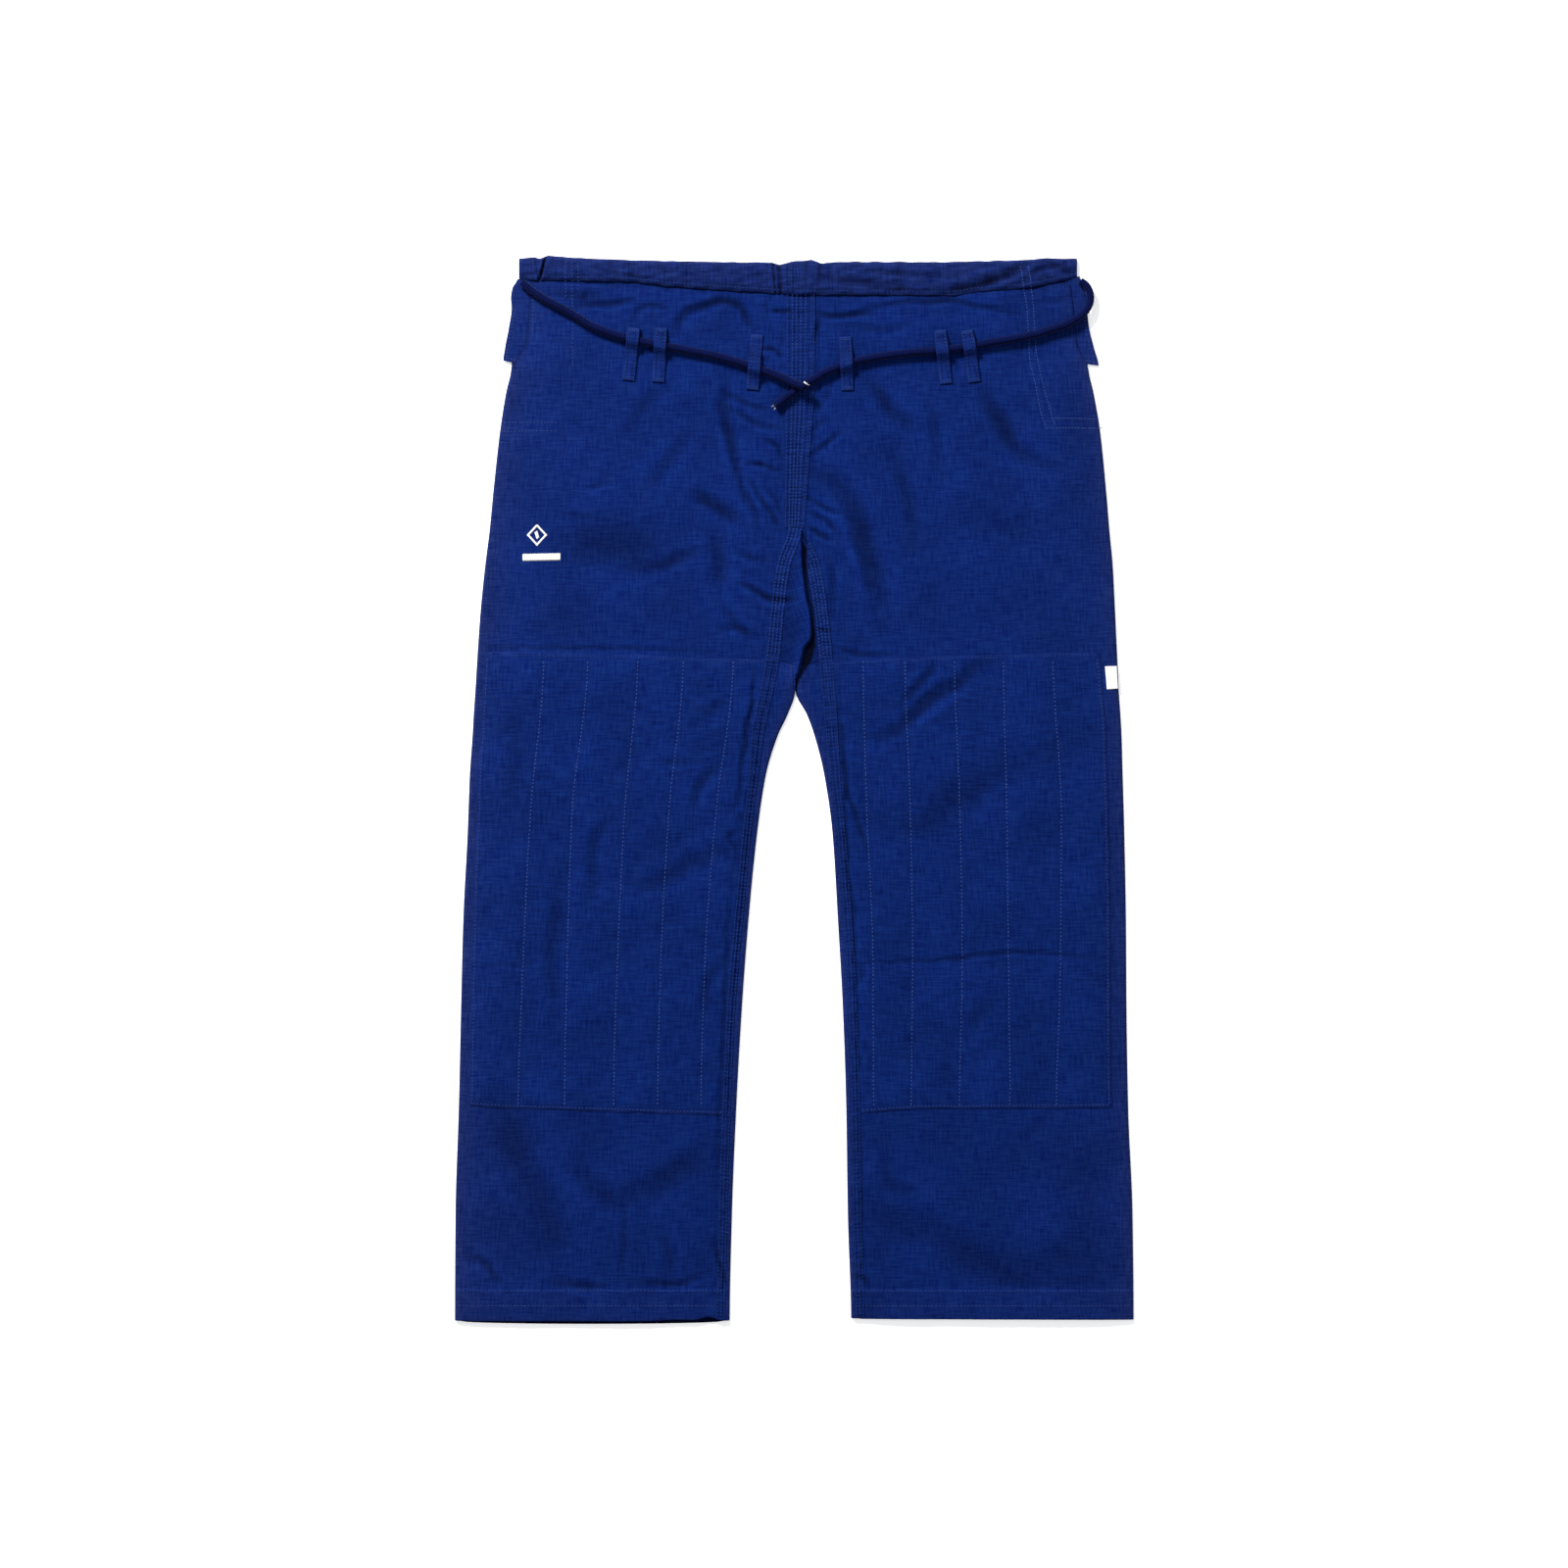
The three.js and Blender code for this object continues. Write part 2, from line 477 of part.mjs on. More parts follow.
// ---- Side vents: the facing of the back shows beside the front, and its corner sticks out ----
const ventFacings = {
  left: [
    { outerX: -253, outerY: 462.5, innerY: 462.5 }, { outerX: -255.5, outerY: 440, innerY: 440 },
    { outerX: -259, outerY: 420, innerY: 420 }, { outerX: -263, outerY: 401, innerY: 401.5 },
    { outerX: -264.5, outerY: 390, innerX: -253.5, innerY: 387.5 },
  ],
  right: [
    { outerX: 261, outerY: 462.5, innerY: 462.5 }, { outerX: 264.5, outerY: 440, innerY: 440 },
    { outerX: 268, outerY: 420, innerY: 420 }, { outerX: 272.5, outerY: 401, innerY: 401.5 },
    { outerX: 276.5, outerY: 385.5, innerX: 264.8, innerY: 387 },
  ],
};

for (const side of ['left', 'right']) {
  const leg = legs[side];
  const rows = ventFacings[side].map(({ outerX, outerY, innerX, innerY }) => {
    const frontX = column(leg.edge, innerY) + leg.inward * (leg.vent - 2 * GAP);
    const x = innerX ?? frontX;
    return [0, 0.5, 1].map((u) => (
      sheetPoint(mix(outerX, x, u), mix(outerY, innerY, u), FRONT_UNDER, FRONT_UNDER + CLOTH)
    ));
  });
  addPiece(`vent_facing_${side}`, wall(rows), DRILL);
}

// ---- Plain white tab at the right side, beside the knee patch ----
const TAB_THICKNESS = 1;
const tabRows = [{ y: 112, innerX: 282.4, outerX: 292.9 }, { y: 92, innerX: 284, outerX: 293.9 }];
addPiece('side_tab', wall(tabRows.map(({ y, innerX, outerX }) => [innerX, outerX].map((x) => {
  const under = frontTop(x, y) + TRIM_GAP;
  return sheetPoint(x, y, under, under + TAB_THICKNESS);
}))), TAB_WHITE);

// ---- Drawstring: two free runs, from the ends of the casing through the belt loops to the middle ----
// The left run's end lies over the right run, which goes on under it to its own end.
const drawstrings = {
  left: {
    steps: 30,
    route: [
      [-247, 460.5, 6.9], [-240, 454.6, 7.9], [-231, 448.1, 8.4], [-220.3, 441.9, 8.7], [-208.3, 435.7, 8.9],
      [-197, 429, 9], [-185.6, 421.9, 9], [-174, 417, 9], [-162.8, 413, 9], [-152.6, 410.3, 9], [-142.8, 408, 9],
      [-134.8, 406.1, 9], [-122.4, 403.8, 9], [-107.2, 401, 9], [-93.5, 398.2, 9], [-82.3, 396.1, 9],
      [-70.8, 393.6, 9], [-56.5, 389.8, 9], [-43.5, 385.6, 9], [-35.2, 383.1, 9.1], [-25.4, 379.6, 9.7],
      [-13.8, 375.2, 11.4], [-4.9, 371, 13.9], [2.2, 367.4, 16.2], [7.1, 366, 17.2], [10.2, 366.5, 17.9],
    ],
  },
  right: {
    steps: 40,
    route: [
      [259.8, 461.8, 6.8], [263.5, 459.4, 6.8], [266.6, 455.8, 6.7], [268.4, 451, 6.6], [268.9, 445.6, 6.6],
      [267.8, 440.2, 6.8], [265.1, 435.3, 7.2], [261, 431, 7.6], [255, 426.6, 8], [247, 422.5, 8.4],
      [239, 419.5, 8.7], [229.2, 416.7, 8.9], [220.8, 414, 9], [208.7, 411.3, 9], [198, 409.1, 9],
      [181.1, 406.3, 9], [164.2, 403.3, 9], [145.9, 400.5, 9], [126.6, 398.5, 9], [107.2, 396.9, 9],
      [84.6, 394.3, 9], [61.9, 390.3, 9], [51.2, 388, 9], [41.7, 384.6, 9], [33.4, 381.1, 9],
      [25.7, 377.4, 9], [16.5, 372, 9], [8.5, 367.1, 9], [0.4, 361.8, 9], [-8.5, 355.5, 9], [-17.4, 348.4, 9],
    ],
  },
};
for (const cord of Object.values(drawstrings)) {
  cord.curve = new THREE.CatmullRomCurve3(cord.route.map((p) => new THREE.Vector3(...p)), false, 'centripetal');
}

function cordGeometry({ curve, steps }) {
  const section = new THREE.Shape(Array.from({ length: CORD_SIDES }, (_, i) => {
    const angle = (i / CORD_SIDES) * 2 * Math.PI;
    return new THREE.Vector2(Math.cos(angle), Math.sin(angle)).multiplyScalar(CORD_DIAMETER / 2);
  }));
  const tube = new THREE.ExtrudeGeometry(section, { steps, bevelEnabled: false, extrudePath: curve });
  tube.deleteAttribute('normal');
  tube.deleteAttribute('uv');
  return mergeVertices(tube, 1e-3);
}

addPiece('drawstring_left', cordGeometry(drawstrings.left), CORD_BLUE);
addPiece('drawstring_right', cordGeometry(drawstrings.right), CORD_BLUE);

// ---- Belt loops: straps sewn down at both ends, arched over the drawstring ----
const beltLoops = [
  { name: 'belt_loop_left_outer', cord: 'left', top: [-145.5, 419.5], bottom: [-150.4, 371.5] },
  { name: 'belt_loop_left_middle', cord: 'left', top: [-121, 419.5], bottom: [-123.3, 370] },
  { name: 'belt_loop_left_inner', cord: 'left', top: [-33.8, 413.5], bottom: [-37.8, 363] },
  { name: 'belt_loop_right_inner', cord: 'right', top: [46.3, 411.5], bottom: [48.5, 362.5] },
  { name: 'belt_loop_right_middle', cord: 'right', top: [132.2, 417.5], bottom: [138, 368.5] },
  { name: 'belt_loop_right_outer', cord: 'right', top: [156.6, 417.5], bottom: [163.8, 370] },
];
// Over the cord: distance along the strap from the cord, and height above the cord's middle, of each face. The last
// pair is back on the front panel, so its heights are above the panel.
const hump = [
  { underAlong: 0, underRise: 4.1, overAlong: 0, overRise: 5.5 },
  { underAlong: 3.1, underRise: 3.3, overAlong: 3.9, overRise: 4.5 },
  { underAlong: 5.5, underRise: -0.2, overAlong: 6.8, overRise: 0.4 },
];
const HUMP_FOOT = { underAlong: 8.6, overAlong: 9.8 };

// The drawstring's middle where it crosses a given x.
function cordAt(cord, x) {
  return cord.curve.getPoints(CORD_SAMPLES).reduce((best, p) => (Math.abs(p.x - x) < Math.abs(best.x - x) ? p : best));
}

function loopGrid({ cord, top, bottom }) {
  const length = Math.hypot(bottom[0] - top[0], bottom[1] - top[1]);
  const direction = [(bottom[0] - top[0]) / length, (bottom[1] - top[1]) / length];
  const place = (along, across) => [
    top[0] + direction[0] * along - direction[1] * across, top[1] + direction[1] * along + direction[0] * across,
  ];
  const onPanel = (along, across) => {
    const [x, y] = place(along, across);
    return frontTop(x, y) + TRIM_GAP;
  };
  const strips = [-0.5, 0, 0.5].map((fraction) => {
    const across = fraction * LOOP_WIDTH;
    let middle = length / 2;
    for (let pass = 0; pass < 3; pass++) {
      const [x, y] = place(middle, across);
      middle += y - cordAt(drawstrings[cord], x).y;
    }
    const crossing = cordAt(drawstrings[cord], place(middle, across)[0]);
    const flat = (along) => ({
      over: [...place(along, across), onPanel(along, across) + LOOP_CLOTH],
      under: [...place(along, across), onPanel(along, across)],
    });
    const raised = (sign) => ({ underAlong, underRise, overAlong, overRise }) => ({
      over: [...place(middle + sign * overAlong, across), crossing.z + overRise],
      under: [...place(middle + sign * underAlong, across), crossing.z + underRise],
    });
    const foot = (sign) => ({
      over: [...place(middle + sign * HUMP_FOOT.overAlong, across),
        onPanel(middle + sign * HUMP_FOOT.overAlong, across) + LOOP_CLOTH],
      under: [...place(middle + sign * HUMP_FOOT.underAlong, across),
        onPanel(middle + sign * HUMP_FOOT.underAlong, across)],
    });
    return [
      flat(0), flat(TACK), foot(-1), ...hump.slice(1).reverse().map(raised(-1)), ...hump.map(raised(1)),
      foot(1), flat(length - TACK), flat(length),
    ];
  });
  return strips[0].map((_, i) => strips.map((strip) => strip[i]));
}

for (const loop of beltLoops) addPiece(loop.name, wall(loopGrid(loop)), DRILL);

export default garment;
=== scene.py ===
"""Jiu-jitsu gi trousers laid out flat, front side up, seen from straight above.

The cloth pieces are thin shells that follow the form of the solids and add finer creases. Sizes below are in
millimetres in the row frame: +Y towards the waist, +Z up, origin on the floor under the middle. Left is -X, as seen
from above.
"""

import math

import bpy
import numpy as np
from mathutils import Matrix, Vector
from mathutils.bvhtree import BVHTree


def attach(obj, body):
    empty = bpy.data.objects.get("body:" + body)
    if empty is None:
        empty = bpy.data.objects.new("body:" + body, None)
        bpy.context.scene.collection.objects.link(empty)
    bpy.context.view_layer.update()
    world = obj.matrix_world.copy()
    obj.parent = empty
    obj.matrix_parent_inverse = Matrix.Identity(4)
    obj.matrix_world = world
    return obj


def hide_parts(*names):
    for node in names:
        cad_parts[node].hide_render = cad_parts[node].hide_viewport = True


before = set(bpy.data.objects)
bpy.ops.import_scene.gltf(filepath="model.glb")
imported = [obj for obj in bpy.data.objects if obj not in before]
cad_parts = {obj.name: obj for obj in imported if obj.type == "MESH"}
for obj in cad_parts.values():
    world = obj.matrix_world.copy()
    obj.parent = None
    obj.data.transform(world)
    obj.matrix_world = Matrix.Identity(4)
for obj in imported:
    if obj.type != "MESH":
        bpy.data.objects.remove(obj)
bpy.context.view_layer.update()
MM = 0.001

# ---- Camera, light and floor ----
scene = bpy.context.scene
scene.view_settings.view_transform = "Standard"
scene.view_settings.look = "None"

LENS = 100
SENSOR = 36
VIEW_WIDTH = 1424
AIM = (-9.3, 5.3, 5)

camera_data = bpy.data.cameras.new("camera")
camera_data.lens = LENS
camera_data.sensor_width = SENSOR
camera_data.clip_end = 100
camera = bpy.data.objects.new("camera", camera_data)
camera.location = (AIM[0] * MM, AIM[1] * MM, (AIM[2] + VIEW_WIDTH * LENS / SENSOR) * MM)
scene.collection.objects.link(camera)
scene.camera = camera

world = bpy.data.worlds.new("studio")
world.use_nodes = True
background = world.node_tree.nodes["Background"]
background.inputs["Color"].default_value = (0.95, 0.97, 1, 1)
background.inputs["Strength"].default_value = 0.4
scene.world = world


def add_area_light(name, place, size, watts, colour):
    data = bpy.data.lights.new(name, "AREA")
    data.shape = "DISK"
    data.size = size
    data.energy = watts
    data.color = colour
    lamp = bpy.data.objects.new(name, data)
    lamp.location = place
    lamp.rotation_euler = (-Vector(place)).to_track_quat("-Z", "Y").to_euler()
    scene.collection.objects.link(lamp)


add_area_light("key", (-1.6, 2.7, 2.1), size=0.9, watts=262, colour=(1, 0.99, 0.97))
add_area_light("fill", (2.4, -0.8, 3.2), size=1.8, watts=20, colour=(0.97, 0.98, 1))

# ---- Outline of the garment ----
OUTLINE_ROWS = [
    # y, left edge, left seam, left fold, right fold, right seam, right edge
    (486, -249, 4, 1, 1, 4, 255.5),
    (464, -251, 4, 1, 1, 4, 258.5),
    (424, -254, 4, 1, 1, 4, 263),
    (381, -257.5, 4, 1, 1, 4, 267.5),
    (361, -262, 4, 1, 1, 4, 272),
    (326, -267.5, 3.5, 1, 1, 3.5, 278),
    (272, -273.5, 3, 1, 1, 3, 283.5),
    (236, -277, 1, 1, 1, 4.5, 286.5),
    (204, -281, -9.5, 1, 1, 17, 289.5),
    (165, -285, -15, 1, 1, 24, 291.5),
    (123, -288, -19, 1, 1, 28.5, 293.5),
    (90, -290, -25, 1, 1, 31, 295),
    (68, -291.5, -30, -6, 11.5, 33, 296.5),
    (50, -292.5, -33, -14.5, 18, 34.5, 297.5),
    (14, -295, -37, -25.5, 27, 37.5, 298.5),
    (-39, -297, -43, -33.5, 34.5, 43, 300),
    (-119, -301, -50.5, -41.5, 39.5, 49, 301.5),
    (-199, -303, -57.5, -47.5, 44, 53.5, 302),
    (-288, -305, -61.5, -52.5, 47, 56, 303.5),
    (-386, -308, -64.5, -56.5, 48.5, 57.5, 307.5),
    (-486, -308.5, -66.5, -58.5, 51.5, 60, 308.5),
]
OUTLINE_NAMES = ("left_edge", "left_seam", "left_fold", "right_fold", "right_seam", "right_edge")
NOTCH = (1, 90)
CASING_FOOT = [(-252, 464.5), (-146, 462.3), (-117, 458.5), (-59, 454.5), (4, 450.5), (147, 450.3), (164, 453.5),
               (214, 457), (260, 467)]
CASING_TOP = [(-249, 482.8), (-236.5, 484), (-231, 482.8), (-224, 485.5), (-194, 483.3), (-152, 481.5), (-59, 479.5),
              (-20, 479.4), (-13.5, 477), (-2.5, 480), (15.5, 481.6), (24.5, 478.5), (43, 480), (130, 479.6),
              (203, 481.2), (231, 483.3), (255, 482.5)]

# one layer of cloth, the gap between two, and the heights of the front layer's under face
CLOTH = 1.2
GAP = 0.3
HALF_GAP = GAP / 2
FRONT_UNDER = CLOTH + GAP
LOWEST_UNDER = FRONT_UNDER - 0.12
# how far the front is raised in the middle of a leg, and over how long it rolls down to an edge
PILLOW = 2.4
MOST_LIFT = 3.6
ROLL = 18
HEM_TOP = -453
HEM_RISE = 0.8
HEM_STEP = 2.4
QUILT_HEIGHTS = (-290, -155, -21, 121)
SIDES = {
    # hem has its heights in the middle of the garment and at the outer edge
    "left": {"inward": 1, "vent": 12, "wear": 1.0, "hem": (-482.5, -482.5), "hem_dip": 3, "patch_edge": 0.3,
             "patch_top": [(-290, 125.5), (-180, 123.4), (-142, 122.2), (-101, 120), (-56, 118.4), (-22, 119.3)],
             "patch_foot": [(-306, -286.5), (-265, -289.3), (-208, -291), (-165, -292.6), (-57, -296)],
             "patch_side": [(-308, 10), (-60, 8), (125, 7)],
             # x of each quilting line at the quilt heights
             "quilt": [(-250.5, -246, -239.4, -227.4), (-208.5, -206, -201.6, -187.3), (-164, -160.4, -154, -142),
                       (-124, -121, -113.8, -100.6), (-84.5, -81, -71, -55.2)]},
    "right": {"inward": -1, "vent": 8, "wear": 0.6, "hem": (-480.5, -481.5), "hem_dip": 1, "patch_edge": 0.5,
              "patch_top": [(22, 116.4), (72, 118.4), (127, 121), (294, 125.5)],
              "patch_foot": [(50, -294.4), (112, -289.7), (290, -288.8)],
              "patch_side": [(-308, 15), (-60, 14), (60, 14), (125, 16)],
              "quilt": [(72, 71.6, 66, 62.7), (106.2, 107.6, 105.4, 100.6), (150, 152.6, 150.6, 145.5),
                        (196, 194.6, 193, 190), (238, 241.8, 242.6, 235)]},
}


def smooth_curve(xs, ys):
    """A curve through points whose x goes up, that never overshoots them."""
    xs, ys = np.asarray(xs, float), np.asarray(ys, float)
    grade = np.diff(ys) / np.diff(xs)
    slope = np.zeros(len(xs))
    before, after = grade[:-1], grade[1:]
    same = before * after > 0
    slope[1:-1] = np.where(same, 2 * before * after / np.where(same, before + after, 1), 0)

    def at(x):
        x = np.clip(x, xs[0], xs[-1])
        i = np.clip(np.searchsorted(xs, x) - 1, 0, len(xs) - 2)
        span = xs[i + 1] - xs[i]
        t = (x - xs[i]) / span
        return (
            ys[i] * (2 * t**3 - 3 * t**2 + 1)
            + slope[i] * span * (t**3 - 2 * t**2 + t)
            + ys[i + 1] * (3 * t**2 - 2 * t**3)
            + slope[i + 1] * span * (t**3 - t**2)
        )

    return at


rising = OUTLINE_ROWS[::-1]
outline = {
    name: smooth_curve([row[0] for row in rising], [row[i + 1] for row in rising])
    for i, name in enumerate(OUTLINE_NAMES)
}


def line_at(line, x):
    return np.interp(x, [p[0] for p in line], [p[1] for p in line])


def casing_foot(x):
    return line_at(CASING_FOOT, x)


def mix(a, b, t):
    return a + (b - a) * t


def step_between(low, high, x):
    t = np.clip((x - low) / (high - low), 0, 1)
    return t * t * (3 - 2 * t)


# ---- Folds and creases ----
BROAD_FOLDS = [
    # x and y of both ends, width, lift
    (-251, 464.5, -117, 459, 6, -1.2),
    (-117, 459, 4, 450.5, 6, -1.2),
    (4, 450.5, 147, 450.5, 6, -1.1),
    (164, 453.5, 255, 465, 6, -1.1),
    (-200, 437, -160, 437, 8, -0.9),
    (-108, 420, -94, 433, 8, -0.9),
    (-94, 433, -54, 437, 8, -1.0),
    (-54, 437, -38, 417, 8, -0.9),
    (-18, 431, 4, 431, 8, -0.9),
    (60, 431, 203, 434, 8, -0.9),
    (-36, 277, -9, 254, 9, -0.8),
    (-44, 192, -18, 180, 10, -1.1),
    (16, 263, 49, 223, 9, -1.0),
    (36, 281, 80, 179, 15, -0.9),
    (-75, 345, -62, 200, 20, -0.6),
    (177, 112, 66, 45, 14, -1.2),
    (-95, -45, -190, -85, 16, -0.7),
    (57, -158, 193, -158, 8, -0.6),
    (-244, -325, -190, -440, 26, -1.2),
    (-150, -345, -95, -435, 26, 0.7),
    (80, -385, 150, -430, 24, -0.7),
]
CREASES = [
    # points along the crease, width, depth (below 0 for a ridge)
    # left of the centre seam, between the waist casing and the drawstring
    ([(-107, 412), (-98, 433), (-80, 440), (-66, 443), (-52, 440.6), (-45, 433), (-38, 416)], 3.6, 3.0),
    ([(-226, 452), (-200, 449), (-172, 447)], 5.0, 1.6),
    ([(-199, 438), (-177, 440.6), (-146, 443)], 3.0, 2.4),
    ([(-194, 444), (-187, 453)], 2.2, 1.2),
    ([(-147, 425), (-137.5, 437), (-124, 440), (-113, 435)], 2.6, 1.5),
    ([(-22, 435), (-12, 433.6), (-2.6, 434)], 2.1, 2.6),
    ([(-24, 430), (-25, 440), (-20, 447)], 2.0, 1.2),
    ([(-29, 400.5), (-18, 398.7), (-11, 391.6)], 2.0, 2.4),
    ([(-31, 392.5), (-22, 388)], 2.0, 1.5),
    # right of the centre seam, between the waist casing and the drawstring
    ([(22, 432.5), (35, 429), (53, 431.7), (74, 431.7)], 2.6, 3.0),
    ([(24.5, 431), (21, 419), (20, 405)], 2.8, 2.0),
    ([(54, 432), (76.5, 439), (108, 443), (148, 443), (170, 437.7), (205, 432)], 2.8, 2.2),
    ([(44, 421), (88, 418), (115, 424)], 4.0, 1.0),
    ([(211, 455), (227, 461), (239, 463.5), (256, 457.6)], 2.4, 2.6),
    ([(214, 441), (236, 443), (252, 449)], 3.0, 1.0),
    # left of the centre seam, below the drawstring
    ([(-10.6, 449), (-11, 400), (-11.4, 350), (-12, 300), (-12.4, 262)], 1.9, 0.9),
    ([(-67, 361), (-45, 351), (-23, 343.5)], 2.8, 1.6),
    ([(-58, 345), (-36, 333), (-12, 326)], 2.6, 1.5),
    ([(-28, 318.6), (-16.5, 312), (-11, 301)], 2.2, 2.5),
    ([(-45, 296), (-27, 293.7), (-12, 289)], 2.2, 2.1),
    ([(-40, 281), (-31, 265), (-20, 251), (-13.8, 235)], 2.6, 2.4),
    ([(-24, 272), (-16.5, 262), (-12, 249)], 2.2, 1.9),
    ([(-43, 269), (-35, 251), (-31, 235)], 2.6, 1.7),
    ([(-63, 375), (-61, 335), (-55.6, 303.5), (-48.5, 277), (-37, 246)], 5.2, 2.2),
    ([(-70, 337), (-64, 313), (-52, 273), (-40, 243)], 3.2, -1.2),
    ([(-92, 269), (-70, 258), (-48, 240)], 6.0, 2.5),
    ([(-70, 234), (-69, 210), (-72, 180)], 8.5, 2.0),
    ([(-52, 187), (-36, 180.7), (-23, 174.4), (-9, 171), (2.2, 171.8)], 3.0, 2.9),
    ([(-54, 214), (-40, 209), (-26, 208)], 3.4, 1.3),
    ([(-72, 168), (-52, 150), (-38, 132)], 4.0, 1.3),
    ([(-70, 143), (-52, 146), (-32, 138)], 3.2, 1.5),
    # right of the centre seam, below the drawstring
    ([(22.4, 449), (22.2, 400), (21, 350), (17.4, 300), (13.6, 256)], 1.9, 0.9),
    ([(13.8, 303.5), (26, 310.6), (42, 326)], 2.4, 2.5),
    ([(15.6, 326), (31.6, 336)], 2.4, 1.2),
    ([(20, 344), (30, 356), (34, 372)], 3.0, 1.0),
    ([(14, 265), (26, 256), (42, 250)], 2.2, 2.5),
    ([(15.6, 251), (31, 242), (43, 230)], 2.4, 2.3),
    ([(13.8, 238.5), (22.7, 231), (36, 226)], 2.4, 2.8),
    ([(31, 210), (36, 183), (34, 155)], 3.4, 1.8),
    ([(20, 146), (32, 143)], 1.6, 1.6),
    ([(14, 287), (35, 277), (53, 254.5), (64.5, 231), (71, 207), (75, 183), (78, 150)], 10.0, 2.3),
    ([(41, 249), (50, 225), (59, 195), (62, 168)], 3.2, -1.3),
    # right hip and thigh
    ([(68, 370), (80, 359), (91, 341), (107, 328)], 6.5, 2.1),
    ([(91, 308), (99, 284), (106, 246), (109, 220)], 6.5, 1.3),
    ([(128, 352), (130, 320), (130, 278)], 6.5, 1.3),
    ([(171, 371), (180, 346.5), (189, 329), (198, 311), (219, 299), (242, 294)], 7.5, 2.2),
    ([(150, 250), (190, 238), (236, 246)], 12, 0.6),
    ([(36, 130), (53, 123.5), (92, 121.5)], 2.3, 1.7),
    # left hip and thigh
    ([(-112, 368), (-134, 349), (-152, 327)], 6.4, 1.2),
    ([(-88, 328), (-106, 306), (-120, 291), (-135, 272)], 7.0, 1.4),
    ([(-188, 272.7), (-168, 278)], 2.8, 1.1),
    ([(-210, 247), (-180, 247)], 3.4, 0.9),
    ([(-206, 220), (-168, 216), (-120, 206)], 22, 2.3),
    ([(-146, 199), (-125, 203), (-100, 211), (-80, 215)], 6.0, 1.7),
    ([(-288, 129), (-220, 128), (-150, 127.5), (-70, 124)], 2.2, 1.1),
    # left knee
    ([(-147, -86), (-116, -84), (-89, -67), (-54, -49)], 9.0, 1.6),
    ([(-165, -24), (-178, -44), (-183, -66), (-183, -84), (-187, -108)], 6.0, 1.6),
    ([(-207, -70), (-214, -101), (-221, -146), (-216, -182), (-221, -228)], 7.0, 1.4),
    ([(-71, 22), (-85, 1), (-92, -22)], 5.2, 1.9),
    ([(-61, 82), (-82, 62)], 5.4, 1.0),
    ([(-88, 28), (-126, 21)], 3.2, 0.9),
    ([(-62, -154), (-76, -172), (-81, -200)], 5.2, 1.4),
    ([(-254, 70), (-255, 26), (-254, -18)], 10, 1.0),
    ([(-290, -161), (-252, -159)], 1.8, 1.0),
    ([(-52, -38), (-60, -44), (-51, -56)], 2.2, 1.6),
    # right knee
    ([(66, 44.5), (88, 52), (106, 65), (129, 85), (149, 97), (164, 112), (190, 117)], 6.4, 2.3),
    ([(98, 75), (115, 97), (130, 116)], 4.2, 1.9),
    ([(108, 54), (136, 76), (156, 92)], 4.6, -0.9),
    ([(70, -25), (97, -37), (124, -34), (142, -17), (164, -2), (196, 23), (224, 37)], 15, 1.6),
    ([(44, 59), (48.5, 1), (55, -21), (66, -52), (71, -68)], 2.5, 2.2),
    ([(64, -158), (137, -155), (173, -150), (218, -148), (290, -155)], 2.2, 1.5),
    ([(58, -156), (62, -166), (57, -181)], 2.6, 1.6),
    ([(184, -192), (158, -219)], 7.6, 1.1),
    ([(143, -238), (137, -272)], 8.0, 0.8),
    # left shin
    ([(-259, -284), (-254, -324), (-243, -355), (-230, -377), (-221, -404), (-211, -437)], 15, 1.6),
    ([(-201, -341), (-183, -364), (-160, -378)], 10, 1.3),
    ([(-158, -374), (-134, -364), (-107, -346), (-70, -328)], 12, 1.7),
    ([(-156, -370), (-154, -400), (-158, -446)], 2.4, 1.4),
    ([(-216, -450), (-192, -451), (-168, -450)], 4.2, 1.7),
    ([(-144, -449), (-103, -449), (-89, -444), (-79, -438)], 3.6, 1.6),
    ([(-121, -402), (-112, -426), (-114, -446)], 5.4, 1.4),
    ([(-71.5, -408), (-70, -424), (-64.5, -440), (-65, -456)], 1.9, 2.6),
    ([(-300, -426), (-281, -431), (-267, -449)], 3.6, 1.8),
    # right shin
    ([(60, -384), (88, -395), (129, -408), (160, -426), (213, -435), (270, -426)], 16, 1.2),
    ([(84, -322), (89, -360), (117, -369)], 6.6, 1.0),
    ([(53, -441), (64, -446), (71, -456)], 2.6, 1.9),
    ([(190, -446), (230, -449), (280, -447)], 6.0, 0.6),
    # beside the inseams
    ([(-36, 118), (-37, 86), (-43, 52), (-48, 16), (-50, -10), (-56, -18)], 2.4, 2.6),
    ([(-52, -50), (-56, -80), (-60, -130), (-64, -220), (-68, -300), (-72, -390)], 2.0, 1.5),
    ([(41, 122), (42, 60), (46, 0), (49, -75), (53, -101), (55, -142), (57.5, -208), (58.5, -292)], 2.0, 2.0),
    ([(60, -300), (62, -380), (64, -450)], 2.0, 1.0),
]
CROTCH_FOLD = [
    # x, y, half the width of the gap, how much painted shade it gets
    (8.5, 234, 2.2, 2.6),
    (9.1, 218, 2.6, 3.0),
    (9.0, 205, 2.2, 2.3),
    (11.1, 184, 2.2, 1.9),
    (13.1, 172, 2.2, 1.9),
    (15.4, 164, 2.1, 2.0),
    (16.8, 150, 1.8, 2.2),
    (17.3, 140, 2.0, 3.0),
    (16.0, 134, 2.6, 4.4),
    (13.8, 130, 4.4, 4.6),
    (12.0, 121, 4.8, 4.6),
    (9.8, 114, 3.8, 4.6),
    (6.7, 107.7, 2.7, 4.4),
    (2.7, 99.7, 1.8, 3.6),
    (1.2, 91, 1.2, 2.4),
]


